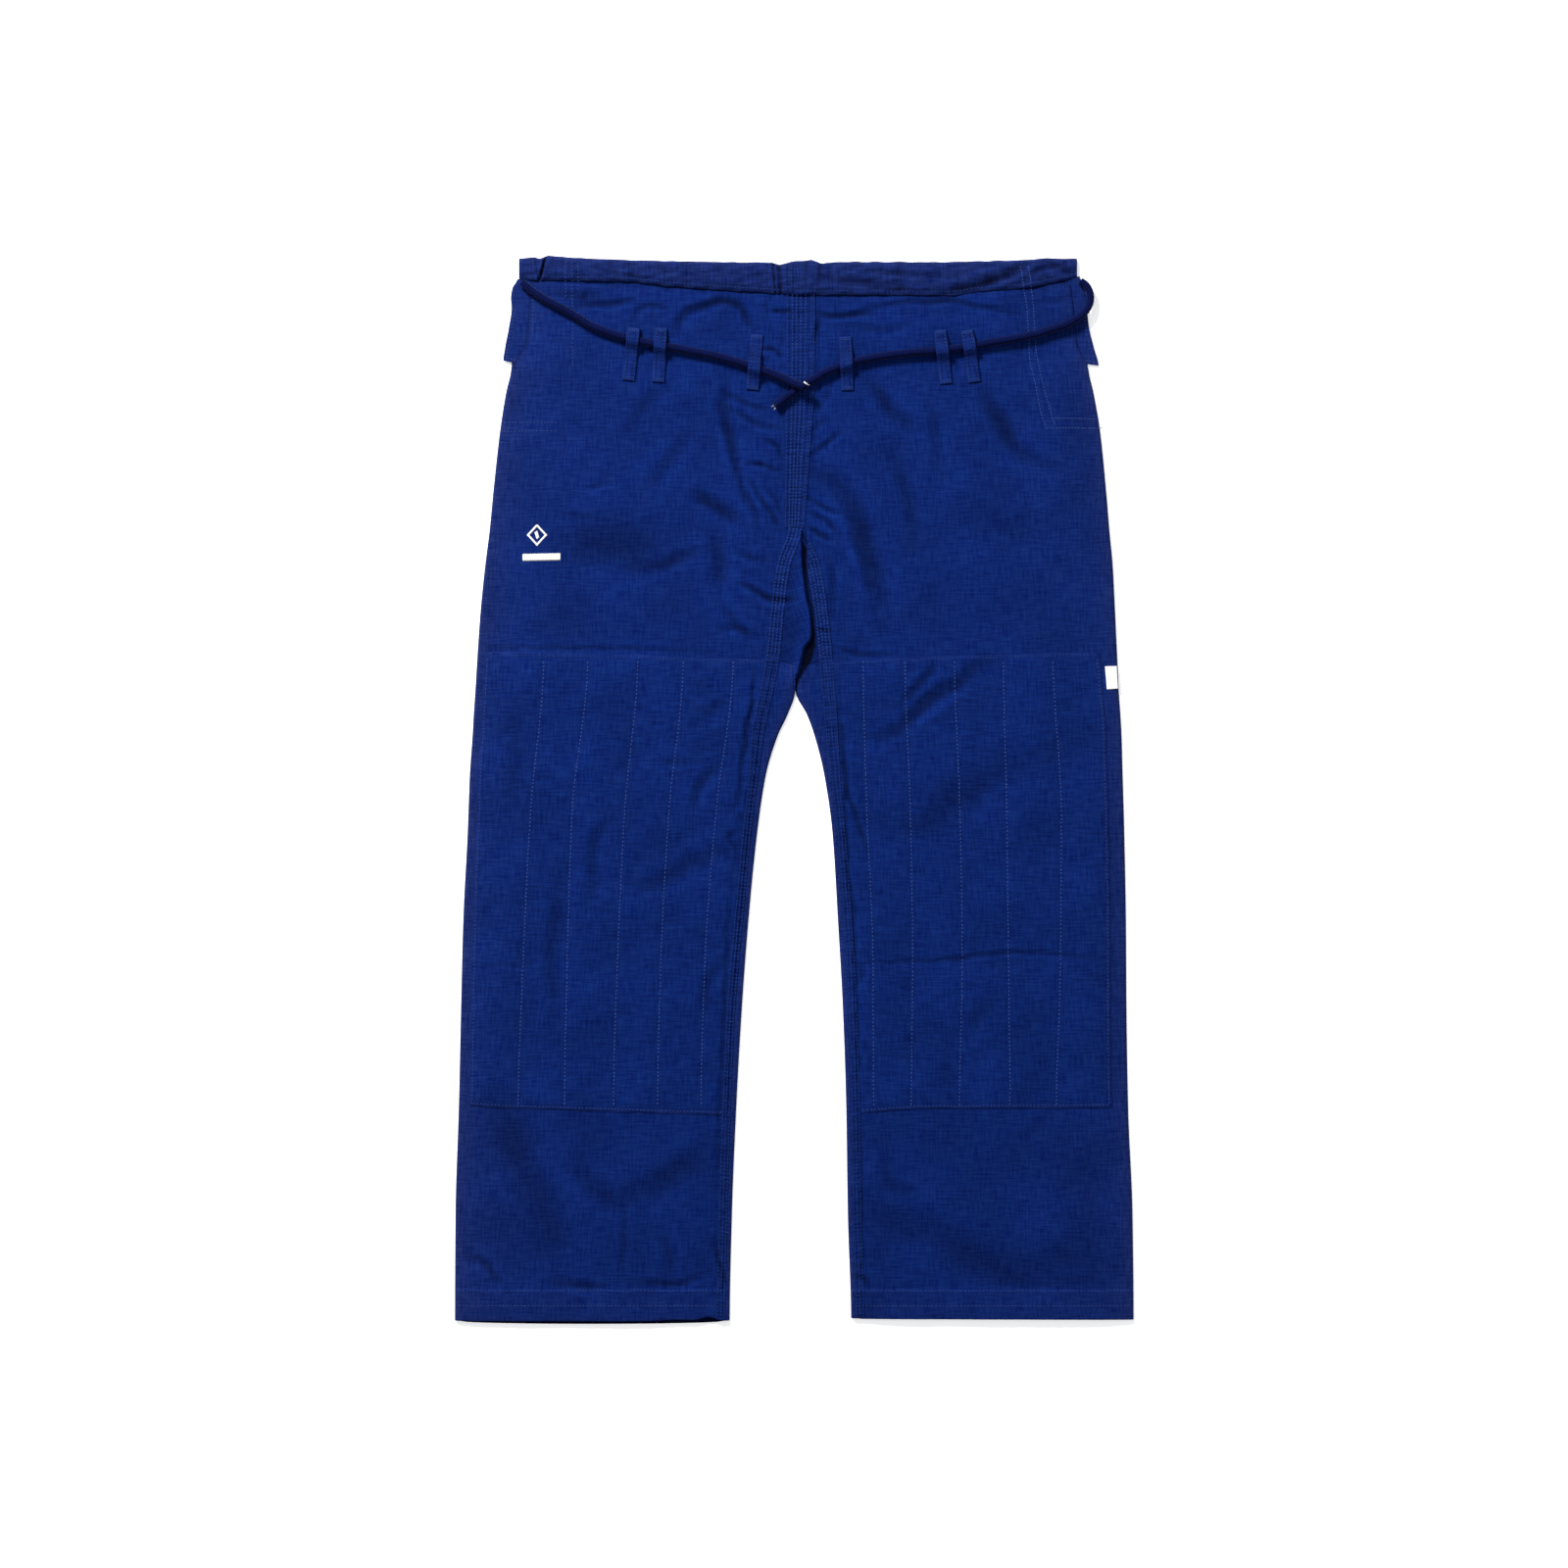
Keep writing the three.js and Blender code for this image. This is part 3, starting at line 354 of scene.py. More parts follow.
def rounded(points, steps=8):
    """The same line with its corners rounded, as a Catmull-Rom curve."""
    p = np.asarray(points, float)
    if len(p) < 3:
        return p
    ends = np.vstack([2 * p[0] - p[1], p, 2 * p[-1] - p[-2]])
    t = np.linspace(0, 1, steps, endpoint=False)[:, None]
    out = []
    for a, b, c, d in zip(ends, ends[1:], ends[2:], ends[3:]):
        square, cube = 2 * a - 5 * b + 4 * c - d, 3 * b - a - 3 * c + d
        out.append(0.5 * (2 * b + (c - a) * t + square * t**2 + cube * t**3))
    return np.vstack([*out, p[-1:]])


def near_line(x, y, line, reach):
    """Which points are within reach of a line, their distances from it and along it, and the line's length.

    Distances are above 0 on the line's left and below 0 on its right.
    """
    line = np.asarray(line, float)
    low, high = line.min(0) - reach, line.max(0) + reach
    near = (x > low[0]) & (x < high[0]) & (y > low[1]) & (y < high[1])
    px, py = x[near], y[near]
    best = np.full(px.shape, np.inf)
    side = np.ones(px.shape)
    along = np.zeros(px.shape)
    travelled = 0.0
    for (ax, ay), (bx, by) in zip(line, line[1:]):
        dx, dy = bx - ax, by - ay
        length = math.hypot(dx, dy)
        t = np.clip(((px - ax) * dx + (py - ay) * dy) / length**2, 0, 1)
        ex, ey = px - ax - t * dx, py - ay - t * dy
        distance = np.hypot(ex, ey)
        closer = distance < best
        best = np.where(closer, distance, best)
        side = np.where(closer, np.where(dx * ey - dy * ex >= 0, 1.0, -1.0), side)
        along = np.where(closer, travelled + t * length, along)
        travelled += length
    return near, best * side, along, travelled


def waves(x, y, length, seed):
    """A soft uneven surface, from -1 to 1 or so, whose bumps are about this long. Each seed gives one of its own."""
    count = 9
    rng = np.random.default_rng(seed)
    total = np.zeros(np.shape(x))
    for angle, phase, stretch in rng.uniform((0, 0, 0.65), (math.pi, 2 * math.pi, 1.6), (count, 3)):
        k = 2 * math.pi / (length * stretch)
        total = total + np.sin(k * (x * math.cos(angle) + y * math.sin(angle)) + phase)
    return total / math.sqrt(count * 1.4)


def crease_ends(along, length):
    """The share of its depth that a crease has at a place along it, less towards its ends."""
    return np.sin(np.pi * np.clip(along / length, 0.03, 0.97)) ** 0.6


def crease_section(depth, t, rim):
    """How deep a crease is, t of its widths beside its line. It ends in a low rim on both sides."""
    return depth * (1 - rim * t * t) * np.exp(-t * t / 2)


def rise(distance, roll=ROLL):
    return 1 - np.exp(-np.maximum(distance, 0) / roll)


def side_distance(x, y):
    return np.minimum(x - outline["left_edge"](y), outline["right_edge"](y) - x)


def inner_distance(x, y):
    beside = np.where(x < NOTCH[0], outline["left_fold"](y) - x, x - outline["right_fold"](y))
    return np.where(y > NOTCH[1], np.hypot(x - NOTCH[0], y - NOTCH[1]), beside)


def hem_share(y):
    """1 on the turned-up hem and 0 above it."""
    return 1 - step_between(HEM_TOP - HEM_STEP, HEM_TOP, y)


def seam_line(name, high, low):
    y = np.linspace(high, low, int((high - low) / 6))
    return np.stack([outline[name](y), y], 1)


# both edges of the centre seam's band, and the middle of each felled seam
RISE_LEFT = np.array([(-7.6, 451), (-7.8, 400), (-8, 350), (-8.4, 300), (-8.8, 256), (-8.8, 238)])
RISE_RIGHT = np.array([(19.6, 451), (19.4, 400), (18, 350), (14.2, 300), (11.1, 256), (9.5, 238)])
FELL_LINES = {
    "rise": (RISE_LEFT + RISE_RIGHT) / 2,
    "gusset_left": seam_line("left_seam", 238, 122),
    "gusset_right": seam_line("right_seam", 222, 122),
    "inseam_left": seam_line("left_seam", 122, -481),
    "inseam_right": seam_line("right_seam", 122, -479.6),
}
UNEVENNESS = [(0.42, 70, 3), (0.14, 24, 5), (0.05, 9, 7)]  # height and length of its bumps, and their seed


def form(x, y):
    """The height of the front's upper face, with its folds, creases and hem, and the creases' own share of it, which
    also paints shade in their hollows and highlight on their rises.
    """
    x, y = np.broadcast_arrays(np.asarray(x, float), np.asarray(y, float))
    side = side_distance(x, y)
    lift = PILLOW * rise(side) * rise(inner_distance(x, y))
    for ax, ay, bx, by, width, depth in BROAD_FOLDS:
        near, distance, _, _ = near_line(x, y, [(ax, ay), (bx, by)], 3 * width)
        lift[near] += depth * rise(side[near]) * np.exp(-((distance / width) ** 2))
    lift = np.clip(lift, 0, MOST_LIFT)
    fine = sum(height * waves(x, y, length, seed) for height, length, seed in UNEVENNESS)
    for line, width, depth in CREASES:
        near, distance, along, length = near_line(x, y, rounded(line), 4.2 * width)
        wander = distance + 0.25 * width * np.sin(along / (2.2 * width) + width)
        fine[near] -= crease_section(depth * crease_ends(along, length), wander / width, 0.62)
    # the cloth beside a felled seam is drawn up into short ripples
    for line in FELL_LINES.values():
        near, distance, along, _ = near_line(x, y, line, 30)
        swell = np.sin(along / 1.9 + 1.3 * np.sin(along / 7.3)) * np.exp(-np.abs(distance) / 9)
        fine[near] += 0.26 * swell
    # the gusset's left half lies over its right half, with a gap between them that gets painted shade
    crotch = np.array(CROTCH_FOLD)
    near, distance, _, _ = near_line(x, y, crotch[:, :2], 40)
    half_gap = np.interp(y[near], crotch[::-1, 1], crotch[::-1, 2])
    darkness = np.interp(y[near], crotch[::-1, 1], crotch[::-1, 3])
    left_over = 2.2 * np.exp(np.minimum(distance + half_gap, 0) / 10)
    right_under = -1.2 * np.exp(-np.maximum(distance, 0) / 5)
    fade = step_between(86, 100, y[near]) * (1 - step_between(222, 240, y[near]))
    fine[near] += fade * mix(left_over, right_under, step_between(-1, 0.4, distance / half_gap))
    fine[near] -= darkness * step_between(240, 228, y[near]) * np.exp(-((distance / half_gap) ** 4))
    # the panels sink along the casing's foot, with painted shade in the groove
    at_end = step_between(205, 225, x)
    groove = mix(2.3, 1.4, step_between(150, 180, x)) + 1.4 * at_end
    fine -= groove * np.exp(-np.abs(casing_foot(x) - y) / (3.4 + 2 * at_end))
    fine *= rise(side, 5)
    # the face never sinks into the layer below, and comes to rest on it softly
    top = FRONT_UNDER + CLOTH + lift + fine
    low = FRONT_UNDER + CLOTH - 0.1
    top = low + 0.4 * np.logaddexp(0, (top - low) / 0.4)
    hem = hem_share(y)
    roping = 0.16 * np.sin((x + 0.8 * y) / 1.7 + np.sin(x / 9)) * hem
    return top + (HEM_RISE + roping) * hem * rise(side, 3), fine


# ---- Making meshes ----
pieces = {}
surfaces = []


def new_object(name, vertices, faces, uv=None, smooth_angle=55, **tones):
    """A mesh object from millimetre points. uv is the cloth's own flat measure, and tones are what shades it: wear
    with painted sheen and highlight, and painted shade from the creases.
    """
    mesh = bpy.data.meshes.new(name)
    vertices = np.asarray(vertices, float).reshape(-1, 3)
    faces = [np.asarray(group, np.int32) for group in faces]
    loops = np.concatenate([group.ravel() for group in faces])
    sizes = np.concatenate([np.full(len(group), group.shape[1]) for group in faces])
    mesh.vertices.add(len(vertices))
    mesh.vertices.foreach_set("co", (vertices * MM).ravel())
    mesh.loops.add(len(loops))
    mesh.loops.foreach_set("vertex_index", loops)
    mesh.polygons.add(len(sizes))
    mesh.polygons.foreach_set("loop_start", np.concatenate([[0], np.cumsum(sizes)[:-1]]).astype(np.int32))
    mesh.update(calc_edges=True)
    mesh.validate()
    mesh.polygons.foreach_set("use_smooth", np.ones(len(mesh.polygons), bool))
    mesh.set_sharp_from_angle(angle=math.radians(smooth_angle))
    if uv is not None:
        layer = mesh.uv_layers.new(name="grain")
        corner = np.empty(len(mesh.loops), np.int32)
        mesh.loops.foreach_get("vertex_index", corner)
        layer.data.foreach_set("uv", (np.asarray(uv, float).reshape(-1, 2)[corner] * MM).ravel())
    for tone, values in tones.items():
        attribute = mesh.attributes.new(tone, "FLOAT", "POINT")
        attribute.data.foreach_set("value", np.asarray(values, float).ravel())
    made = bpy.data.objects.new(name, mesh)
    scene.collection.objects.link(made)
    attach(made, "root")
    pieces[name] = made
    return made


def grid_faces(rows, columns, start=0):
    r, c = np.meshgrid(np.arange(rows - 1), np.arange(columns - 1), indexing="ij")
    a = (start + r * columns + c).ravel()
    return np.stack([a, a + columns, a + columns + 1, a + 1], 1)


def shell_arrays(over, under):
    """Vertices and faces of a closed shell between two grids of points, turned so that over faces out."""
    rows, columns = over.shape[:2]
    count = rows * columns
    top = grid_faces(rows, columns)
    bottom = grid_faces(rows, columns, count)[:, ::-1]
    ring = np.concatenate([
        np.arange(columns),
        np.arange(1, rows) * columns + columns - 1,
        (rows - 1) * columns + np.arange(columns - 2, -1, -1),
        np.arange(rows - 2, 0, -1) * columns,
    ])
    following = np.roll(ring, -1)
    rim = np.stack([ring, following, following + count, ring + count], 1)
    faces = np.concatenate([top, bottom, rim])
    corner, second, third = over.reshape(-1, 3)[top[len(top) // 2][:3]]
    inward = under.reshape(-1, 3)[top[len(top) // 2][0]] - corner
    if np.dot(np.cross(second - corner, third - corner), inward) > 0:
        faces = faces[:, ::-1]
    return np.concatenate([over.reshape(-1, 3), under.reshape(-1, 3)]), faces


def add_shell(name, parts, replaces=(), carries_stitches=True):
    """One piece from closed shells: over and under grids, flat measure, wear with painted sheen, and height of the
    creases, which also sets painted shade and highlight.
    """
    vertices, faces, uvs, worns, folds = [], [], [], [], []
    start = 0
    for over, under, uv, worn, fold in parts:
        part_vertices, part_faces = shell_arrays(over, under)
        vertices.append(part_vertices)
        faces.append(part_faces + start)
        uvs.append(np.concatenate([uv.reshape(-1, 2)] * 2))
        worns.append(np.concatenate([np.clip(worn, 0, 1).ravel()] * 2))
        folds.append(np.concatenate([np.clip(fold, -5, 2).ravel()] * 2))
        start += len(part_vertices)
        if carries_stitches:
            surfaces.append((over.reshape(-1, 3), grid_faces(*over.shape[:2])))
    made = new_object(name, np.concatenate(vertices), [np.concatenate(faces)], np.concatenate(uvs),
                      worn=np.concatenate(worns), fold=np.concatenate(folds))
    if replaces:
        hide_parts(*replaces)


def points(x, y, z):
    x, y, z = np.broadcast_arrays(x, y, z)
    return np.stack([x, y, z], -1)


# ---- Front panels ----
# how far in from the edge and how high, of the outer and of the inner face, round the side fold and at the open edge
FOLD_TURN = [(2.6, 0.05, 2.6, 1.15), (0.9, 0.3, 1.5, 1.2), (0.0, 1.25, 1.25, 1.3), (0.75, 2.25, 1.5, 1.45)]
FREE_EDGE = [(0.5, -1.2, 0.6, -1.2), (0.1, -1.0, 0.6, -1.15), (0.0, -0.6, 0.7, -1.15), (0.2, -0.15, 0.8, -1.15)]
NEAR_EDGE = np.array([2.2, 3.6, 5.2, 7.4])
PANEL_HEIGHTS = np.concatenate([np.arange(457, 90, -2.2), np.arange(90, -450, -3.3), np.arange(-450, -481.4, -1.3),
                                [-481.7, -482.2, -482.5]])


def shares(heights):
    """The heights as shares of the way from the first to the last."""
    return (heights[0] - heights) / (heights[0] - heights[-1])


def folded_share(y):
    """1 where the side is a fold, and 0 beside the vent, where front and back come apart."""
    return 1 - step_between(376, 384, y)


def front_edge(side, y):
    """The front panel's side edge, which steps in beside the vent."""
    leg = SIDES[side]
    return outline[f"{side}_edge"](y) + leg["inward"] * leg["vent"] * step_between(381, 408, y)


def front_panel(side):
    leg = SIDES[side]
    inward = leg["inward"]
    v = shares(PANEL_HEIGHTS)
    u = np.linspace(0, 1, 99)[1:]
    y = np.repeat(PANEL_HEIGHTS[:, None], len(NEAR_EDGE) + len(u), 1)
    # the sides depend on y and the ends on x, so both are settled in a few rounds, here and in the other pieces
    for _ in range(3):
        edge = front_edge(side, y)
        seam = outline[f"{side}_seam"](y) - inward * HALF_GAP
        start = edge + inward * NEAR_EDGE[-1]
        x = np.concatenate([edge[:, :4] + inward * NEAR_EDGE, mix(start[:, 4:], seam[:, 4:], u)], 1)
        hem = mix(*leg["hem"], np.abs(x) / 308)
        # the left hem gapes open near its inner corner
        hem = hem + 3.6 * np.exp(-(((x + 78) / 9) ** 2)) + 1.3 * np.exp(-(((x + 106) / 18) ** 2))
        y = mix(casing_foot(x) - GAP, hem, v[:, None])
    z, fold = form(x, y)
    over = points(x, y, z - 0.55 * np.exp(-(y - hem) / 0.5))
    under = points(x, y, np.maximum(z - CLOTH - HEM_RISE * hem_share(y), LOWEST_UNDER))
    turned_over, turned_under = [], []
    ey, top_z = y[:, 0], z[:, 0]
    ex = front_edge(side, ey)
    folded = folded_share(ey)
    for (o_in, o_z, u_in, u_z), (fo_in, fo_z, fu_in, fu_z) in zip(FOLD_TURN, FREE_EDGE):
        turned_over.append(points(ex + inward * mix(fo_in, o_in, folded), ey, mix(top_z + fo_z, o_z, folded)))
        turned_under.append(points(ex + inward * mix(fu_in, u_in, folded), ey, mix(top_z + fu_z, u_z, folded)))
    over = np.concatenate([np.stack(turned_over, 1), over], 1)
    under = np.concatenate([np.stack(turned_under, 1), under], 1)
    fold = np.concatenate([np.zeros((len(fold), len(FOLD_TURN))), fold], 1)
    # painted shade along the vent's free edge, where the front lies over the facing
    fold = fold - 2.4 * (1 - folded)[:, None] * np.exp(-np.abs(over[..., 0] - ex[:, None]) / 1.2)
    uv = np.stack([over[..., 0] - inward * over[..., 1] * 0.03, over[..., 1]], -1)
    uv[:, 0:4, 0] -= inward * np.array([5, 3, 1.6, 0.6])
    distance = np.maximum(side_distance(over[..., 0], over[..., 1]), 0)
    # pale near the side folds and the hem: wear, with painted sheen where the cloth rolls over the fold
    worn = 0.75 * np.exp(-distance / 7) + leg["wear"] * 0.3 * np.exp(-distance / 45)
    in_hem = 1 - step_between(HEM_TOP - 3, HEM_TOP, over[..., 1])
    worn += 0.35 * in_hem * (0.3 + 0.7 * np.exp(-(over[..., 1] + 483) / 3))
    return over, under, uv, worn, fold


for side in SIDES:
    add_shell(f"front_{side}", [front_panel(side)], [f"front_panel_{side}"])


# ---- Back panels ----
def back_flat(side):
    leg = SIDES[side]
    inward = leg["inward"]
    heights = np.concatenate([np.linspace(457, 90.5, 74), np.linspace(86, -478, 110), [-482, -483.6, -484.2]])
    v = shares(heights)
    u = np.linspace(0, 1, 32)
    y = np.repeat(heights[:, None], len(u), 1)
    for _ in range(3):
        edge = outline[f"{side}_edge"](y) + inward * 2.9 * folded_share(y)
        short = 4 * (1 - step_between(84, 92, y)) + HALF_GAP
        inner = outline[f"{side}_fold"](y) - inward * short
        x = mix(edge, inner, u)
        hem = leg["hem"][0] - leg["hem_dip"] * np.sin(np.pi * u) ** 0.4
        y = mix(casing_foot(x) - GAP, hem, v[:, None])
    worn = 0.6 * np.exp(-np.maximum(side_distance(x, y), 0) / 9)
    # painted shade on the leg's inside where it shows along the hem
    inside = -4.2 * np.exp(-(((y - hem) / 9) ** 2)) * step_between(3, 14, side_distance(x, y))
    return points(x, y, CLOTH), points(x, y, 0), np.stack([x, y], -1), worn, inside


# the same four measures as for the side fold
INNER_TURN = [(3.9, 0, 3.9, 1.2), (2, 0, 3, 1.2), (0.7, 0.25, 1.8, 1.2), (0.0, 1.35, 1.6, 1.35),
              (0.7, 2.35, 1.8, 1.55)]
GUSSET_FOOT = [(-18.9, 119.5), (0.9, 113), (4.2, 113), (28.4, 117)]


def back_fold(side):
    """The inner edge of the leg, where the back turns up and over on to the front as far as the inseam."""
    leg = SIDES[side]
    inward = leg["inward"]
    hem = leg["hem"][0]
    near_hem = hem + np.array([2.4, 1.1, 0.3])
    heights = np.concatenate([np.linspace(118, 40, 44), np.linspace(38, -476, 160), near_hem])
    u = np.linspace(0, 1, 13)
    y = np.repeat(heights[:, None], len(u), 1)
    fold = outline[f"{side}_fold"](y) - inward * HALF_GAP
    seam = outline[f"{side}_seam"](y) + inward * HALF_GAP
    x = mix(fold - inward * 2.4, seam, u)
    # rows that would reach into the gusset lie close together at its foot
    ceiling = line_at(GUSSET_FOOT, x) - GAP
    y = np.minimum(y, ceiling - 0.01 * np.arange(len(heights))[:, None])
    z, hollow = form(x, y)
    over = points(x, y, z)
    under = points(x, y, np.maximum(z - CLOTH, LOWEST_UNDER))
    ey, ex = y[:, 0], fold[:, 0]
    turned_over = [points(ex - inward * o_in, ey, np.full_like(ex, o_z)) for o_in, o_z, _, _ in INNER_TURN]
    turned_under = [points(ex - inward * u_in, ey, np.full_like(ex, u_z)) for _, _, u_in, u_z in INNER_TURN]
    over = np.concatenate([np.stack(turned_over, 1), over], 1)
    under = np.concatenate([np.stack(turned_under, 1), under], 1)
    hollow = np.concatenate([np.zeros((len(hollow), len(INNER_TURN))), hollow], 1)
    uv = np.stack([over[..., 0] + 3, over[..., 1]], -1)
    worn = 0.8 * np.exp(-np.abs(over[..., 0] - ex[:, None]) / 6)
    return over, under, uv, worn, hollow


for side in SIDES:
    add_shell(f"back_{side}", [back_flat(side), back_fold(side)], [f"back_panel_{side}"])


# ---- Crotch gusset ----
def gusset():
    v = np.linspace(0, 1, 92)[:, None]
    u = np.linspace(0, 1, 44)[None, :]
    top_y, foot_left, foot_right = 236, 119.5, 117
    y = mix(top_y, mix(foot_left, foot_right, u), v)
    for _ in range(2):
        left = outline["left_seam"](y) + HALF_GAP
        right = outline["right_seam"](y) - HALF_GAP
        x = mix(left, right, u)
        y = mix(top_y, line_at(GUSSET_FOOT, x), v)
    z, hollow = form(x, y)
    # its weave runs 20 degrees round from the panels'
    uv = np.stack([x * 0.94 + y * 0.34 + 40, y * 0.94 - x * 0.34], -1)
    # its tone is set darker all over
    return points(x, y, z), points(x, y, z - CLOTH), uv, np.zeros(x.shape), hollow - 1.5


add_shell("gusset", [gusset()], ["crotch_gusset"])

# ---- Knee patches ----
PATCH_THICKNESS = 1.3
BORDER_STITCHES = 2.6  # in from the patch's edge


def quilt_line(line, y):
    return smooth_curve(QUILT_HEIGHTS, line)(y)


def quilting(x, y, side):
    """How the patch puffs up between its lines of stitches."""
    edge, seam = outline[f"{side}_edge"](y), outline[f"{side}_seam"](y)
    nearest = np.minimum(np.abs(x - edge), np.abs(x - seam))
    for line in SIDES[side]["quilt"]:
        nearest = np.minimum(nearest, np.abs(x - quilt_line(line, y)))
    return 0.55 * (1 - np.exp(-((nearest / 3.4) ** 1.3))) - 0.28


def patch(side):
    leg = SIDES[side]
    inward = leg["inward"]
    v = np.concatenate([[0, 0.0012, 0.003, 0.006], np.linspace(0.011, 0.989, 172), [0.994, 0.997, 0.9988, 1]])
    lip = np.array([0, 0.4, 1.0, 2.2])
    u = np.linspace(0, 1, 106)[1:]
    y = mix(123, -292, v)[:, None] * np.ones((1, len(lip) + len(u)))
    for _ in range(3):
        start = outline[f"{side}_edge"](y) + inward * line_at(leg["patch_side"], y)
        finish = outline[f"{side}_seam"](y) - inward * HALF_GAP
        middle = mix(start[:, 4:] + inward * lip[-1], finish[:, 4:], u)
        x = np.concatenate([start[:, :4] + inward * lip, middle], 1)
        top_y, foot_y = line_at(leg["patch_top"], x), line_at(leg["patch_foot"], x)
        y = mix(top_y, foot_y, v[:, None])
    base, hollow = form(x, y)
    from_seam = np.abs(finish - x)
    border = np.minimum(np.minimum(np.abs(x - start), top_y - y), y - foot_y)
    inside = np.maximum(border, 0)
    puffed = quilting(x, y, side)
    thickness = PATCH_THICKNESS * mix(0.62, 1, step_between(0, 9, from_seam))
    thickness = mix(thickness, leg["patch_edge"], np.exp(-inside / 4))
    rounding = 0.15 * np.exp(-inside / 0.6)
    pinch = 0.12 * np.exp(-(((border - BORDER_STITCHES) / 1.1) ** 2))
    cockle = 0.1 * np.sin(y / 1.6 + 2 * np.sin(x / 11)) * np.exp(-inside / 6)
    puff = puffed * rise(from_seam, 4) * rise(border, 3)
    z = base + HALF_GAP + np.maximum(thickness + puff - rounding - pinch + cockle * rise(border, 1), 0.1)
    uv = np.stack([x - inward * y * 0.035 + 17, y], -1)
    worn = 0.45 * np.exp(-inside / 1.6)
    worn += leg["wear"] * 0.25 * np.exp(-np.maximum(side_distance(x, y), 0) / 30)
    # painted shade along the quilting lines and painted highlight on the puffs
    hollow = hollow + 0.5 * (puffed - 0.2)
    return points(x, y, z), points(x, y, base + HALF_GAP), uv, worn, hollow


for side in SIDES:
    add_shell(f"knee_{side}", [patch(side)], [f"knee_patch_{side}"])

# ---- Waist casing ----
casing_over = smooth_curve([0, 0.1, 0.3, 0.55, 0.82, 1], [2.7, 3.6, 4.4, 4.7, 4.5, 3.8])
GATHERS = [
    # x at the top and at the foot, width, depth, how far down it reaches
    (-225.5, -231.5, 1.3, 3.2, 1.0),
    (-236, -231.8, 1.1, 0.9, 1.0),
    (-240, -239, 2.4, 0.7, 0.6),
    (-168, -160, 3.5, 0.5, 1.0),
    (-95, -99, 5, 0.4, 0.9),
    (-19, -16.5, 1.2, 1.6, 1.0),
    (-13.5, -12, 2.0, 1.7, 1.0),
    (-5, -5, 1.6, 0.9, 0.8),
    (12, 11, 1.8, 1.1, 0.7),
    (24.5, 22, 2.6, 1.4, 0.9),
    (33, 34, 2.2, 0.6, 0.5),
    (96, 92, 7, 0.5, 1.0),
    (232, 240, 3, 0.7, 0.7),
    (247, 246, 2.4, 0.8, 0.8),
]
CASING_CREASES = [
    ([(-172, 470), (-150, 467), (-128, 463)], 2.0, 0.8),
    ([(-110, 468), (-104, 474), (-100, 481)], 2.2, 0.6),
    ([(24, 464), (60, 461), (96, 458)], 4.0, 1.2),
    ([(60, 470), (110, 468), (150, 463)], 2.6, 0.9),
    ([(136, 452), (162, 456.7), (182, 463.3), (205, 473.3), (212, 479)], 4.2, 2.2),
    ([(206, 461), (218, 470), (232, 476), (246, 472), (256, 466)], 3.2, 1.4),
    ([(60, 455), (110, 453), (148, 452)], 2.4, 0.9),
]


def casing(x_low, x_high):
    x = np.linspace(x_low, x_high, int((x_high - x_low) / 1.25))[None, :]
    down = np.concatenate([[0, 0.012, 0.035, 0.07], np.linspace(0.11, 0.93, 22), [0.965, 0.985, 1]])[:, None]
    x, down = np.broadcast_arrays(x, down)
    top_y, foot_y = line_at(CASING_TOP, x), casing_foot(x) - 1.2
    top_y = top_y + 0.25 * waves(x, 0 * x, 13, 21)
    y = mix(top_y, foot_y, down)
    side = np.minimum(x - (outline["left_edge"](y) - 0.2), outline["right_edge"](y) + 0.2 - x)
    crown = casing_over(down) * mix(0.5, 1, rise(side, 14))
    height = crown.copy()
    for x_top, x_foot, width, depth, reach in GATHERS:
        fade = np.clip(1 - down / reach, 0, 1) ** 0.5 if reach < 1 else 1
        height -= crease_section(depth * fade, (x - mix(x_top, x_foot, down)) / width, 0.6)
    for line, width, depth in CASING_CREASES:
        near, distance, along, length = near_line(x, y, rounded(line), 4 * width)
        height[near] -= crease_section(depth * crease_ends(along, length), distance / width, 0.6)
    height = height + 0.4 * waves(x, y * 1.6, 17, 23) + 0.16 * waves(x, y, 7, 29)
    # painted shade in the gathers and creases, with the casing's tone set a little darker all over
    hollow = 1.3 * (height - crown) - 0.8
    from_top = top_y - y
    from_foot = y - foot_y
    # both edges are rounded, and a row of stitches sinks in above the foot
    height = height - 1.6 * np.exp(-from_top / 0.6) - 1.1 * np.exp(-from_foot / 1.3)
    height = height - 0.3 * np.exp(-(((from_foot - 4.2) / 1.2) ** 2))
    z = FRONT_UNDER + np.maximum(height, 0.9)
    uv = np.stack([y, x], -1)
    worn = 0.6 * np.exp(-from_top / 3) + 0.5
    # painted shade along the casing's foot
    hollow = hollow - mix(1.7, 1.0, step_between(150, 180, x)) * np.exp(-from_foot / 2.4)
    under = np.maximum(FRONT_UNDER - 0.1, np.maximum(z - 2.4, z - 0.8 - 1.2 * from_foot))
    return points(x, y, z), points(x, y, under), uv, worn, hollow


add_shell("casing_left", [casing(-250.2, -1.4)], ["waist_casing_front_left"])
add_shell("casing_right", [casing(-1.2, 257)], ["waist_casing_front_right"])


def back_casing():
    x = np.linspace(-250, 256.5, 200)[None, :]
    down = np.array([0, 0.03, 0.5, 0.97, 1])[:, None]
    x, down = np.broadcast_arrays(x, down)
    y = mix(line_at(CASING_TOP, x), casing_foot(x), down)
    z = CLOTH - 0.5 * ((down == 0) | (down == 1))
    return points(x, y, z), points(x, y, 0), np.stack([y, x], -1), np.full(x.shape, 0.4), np.zeros(x.shape)


add_shell("casing_back", [back_casing()], ["waist_casing_back"], carries_stitches=False)

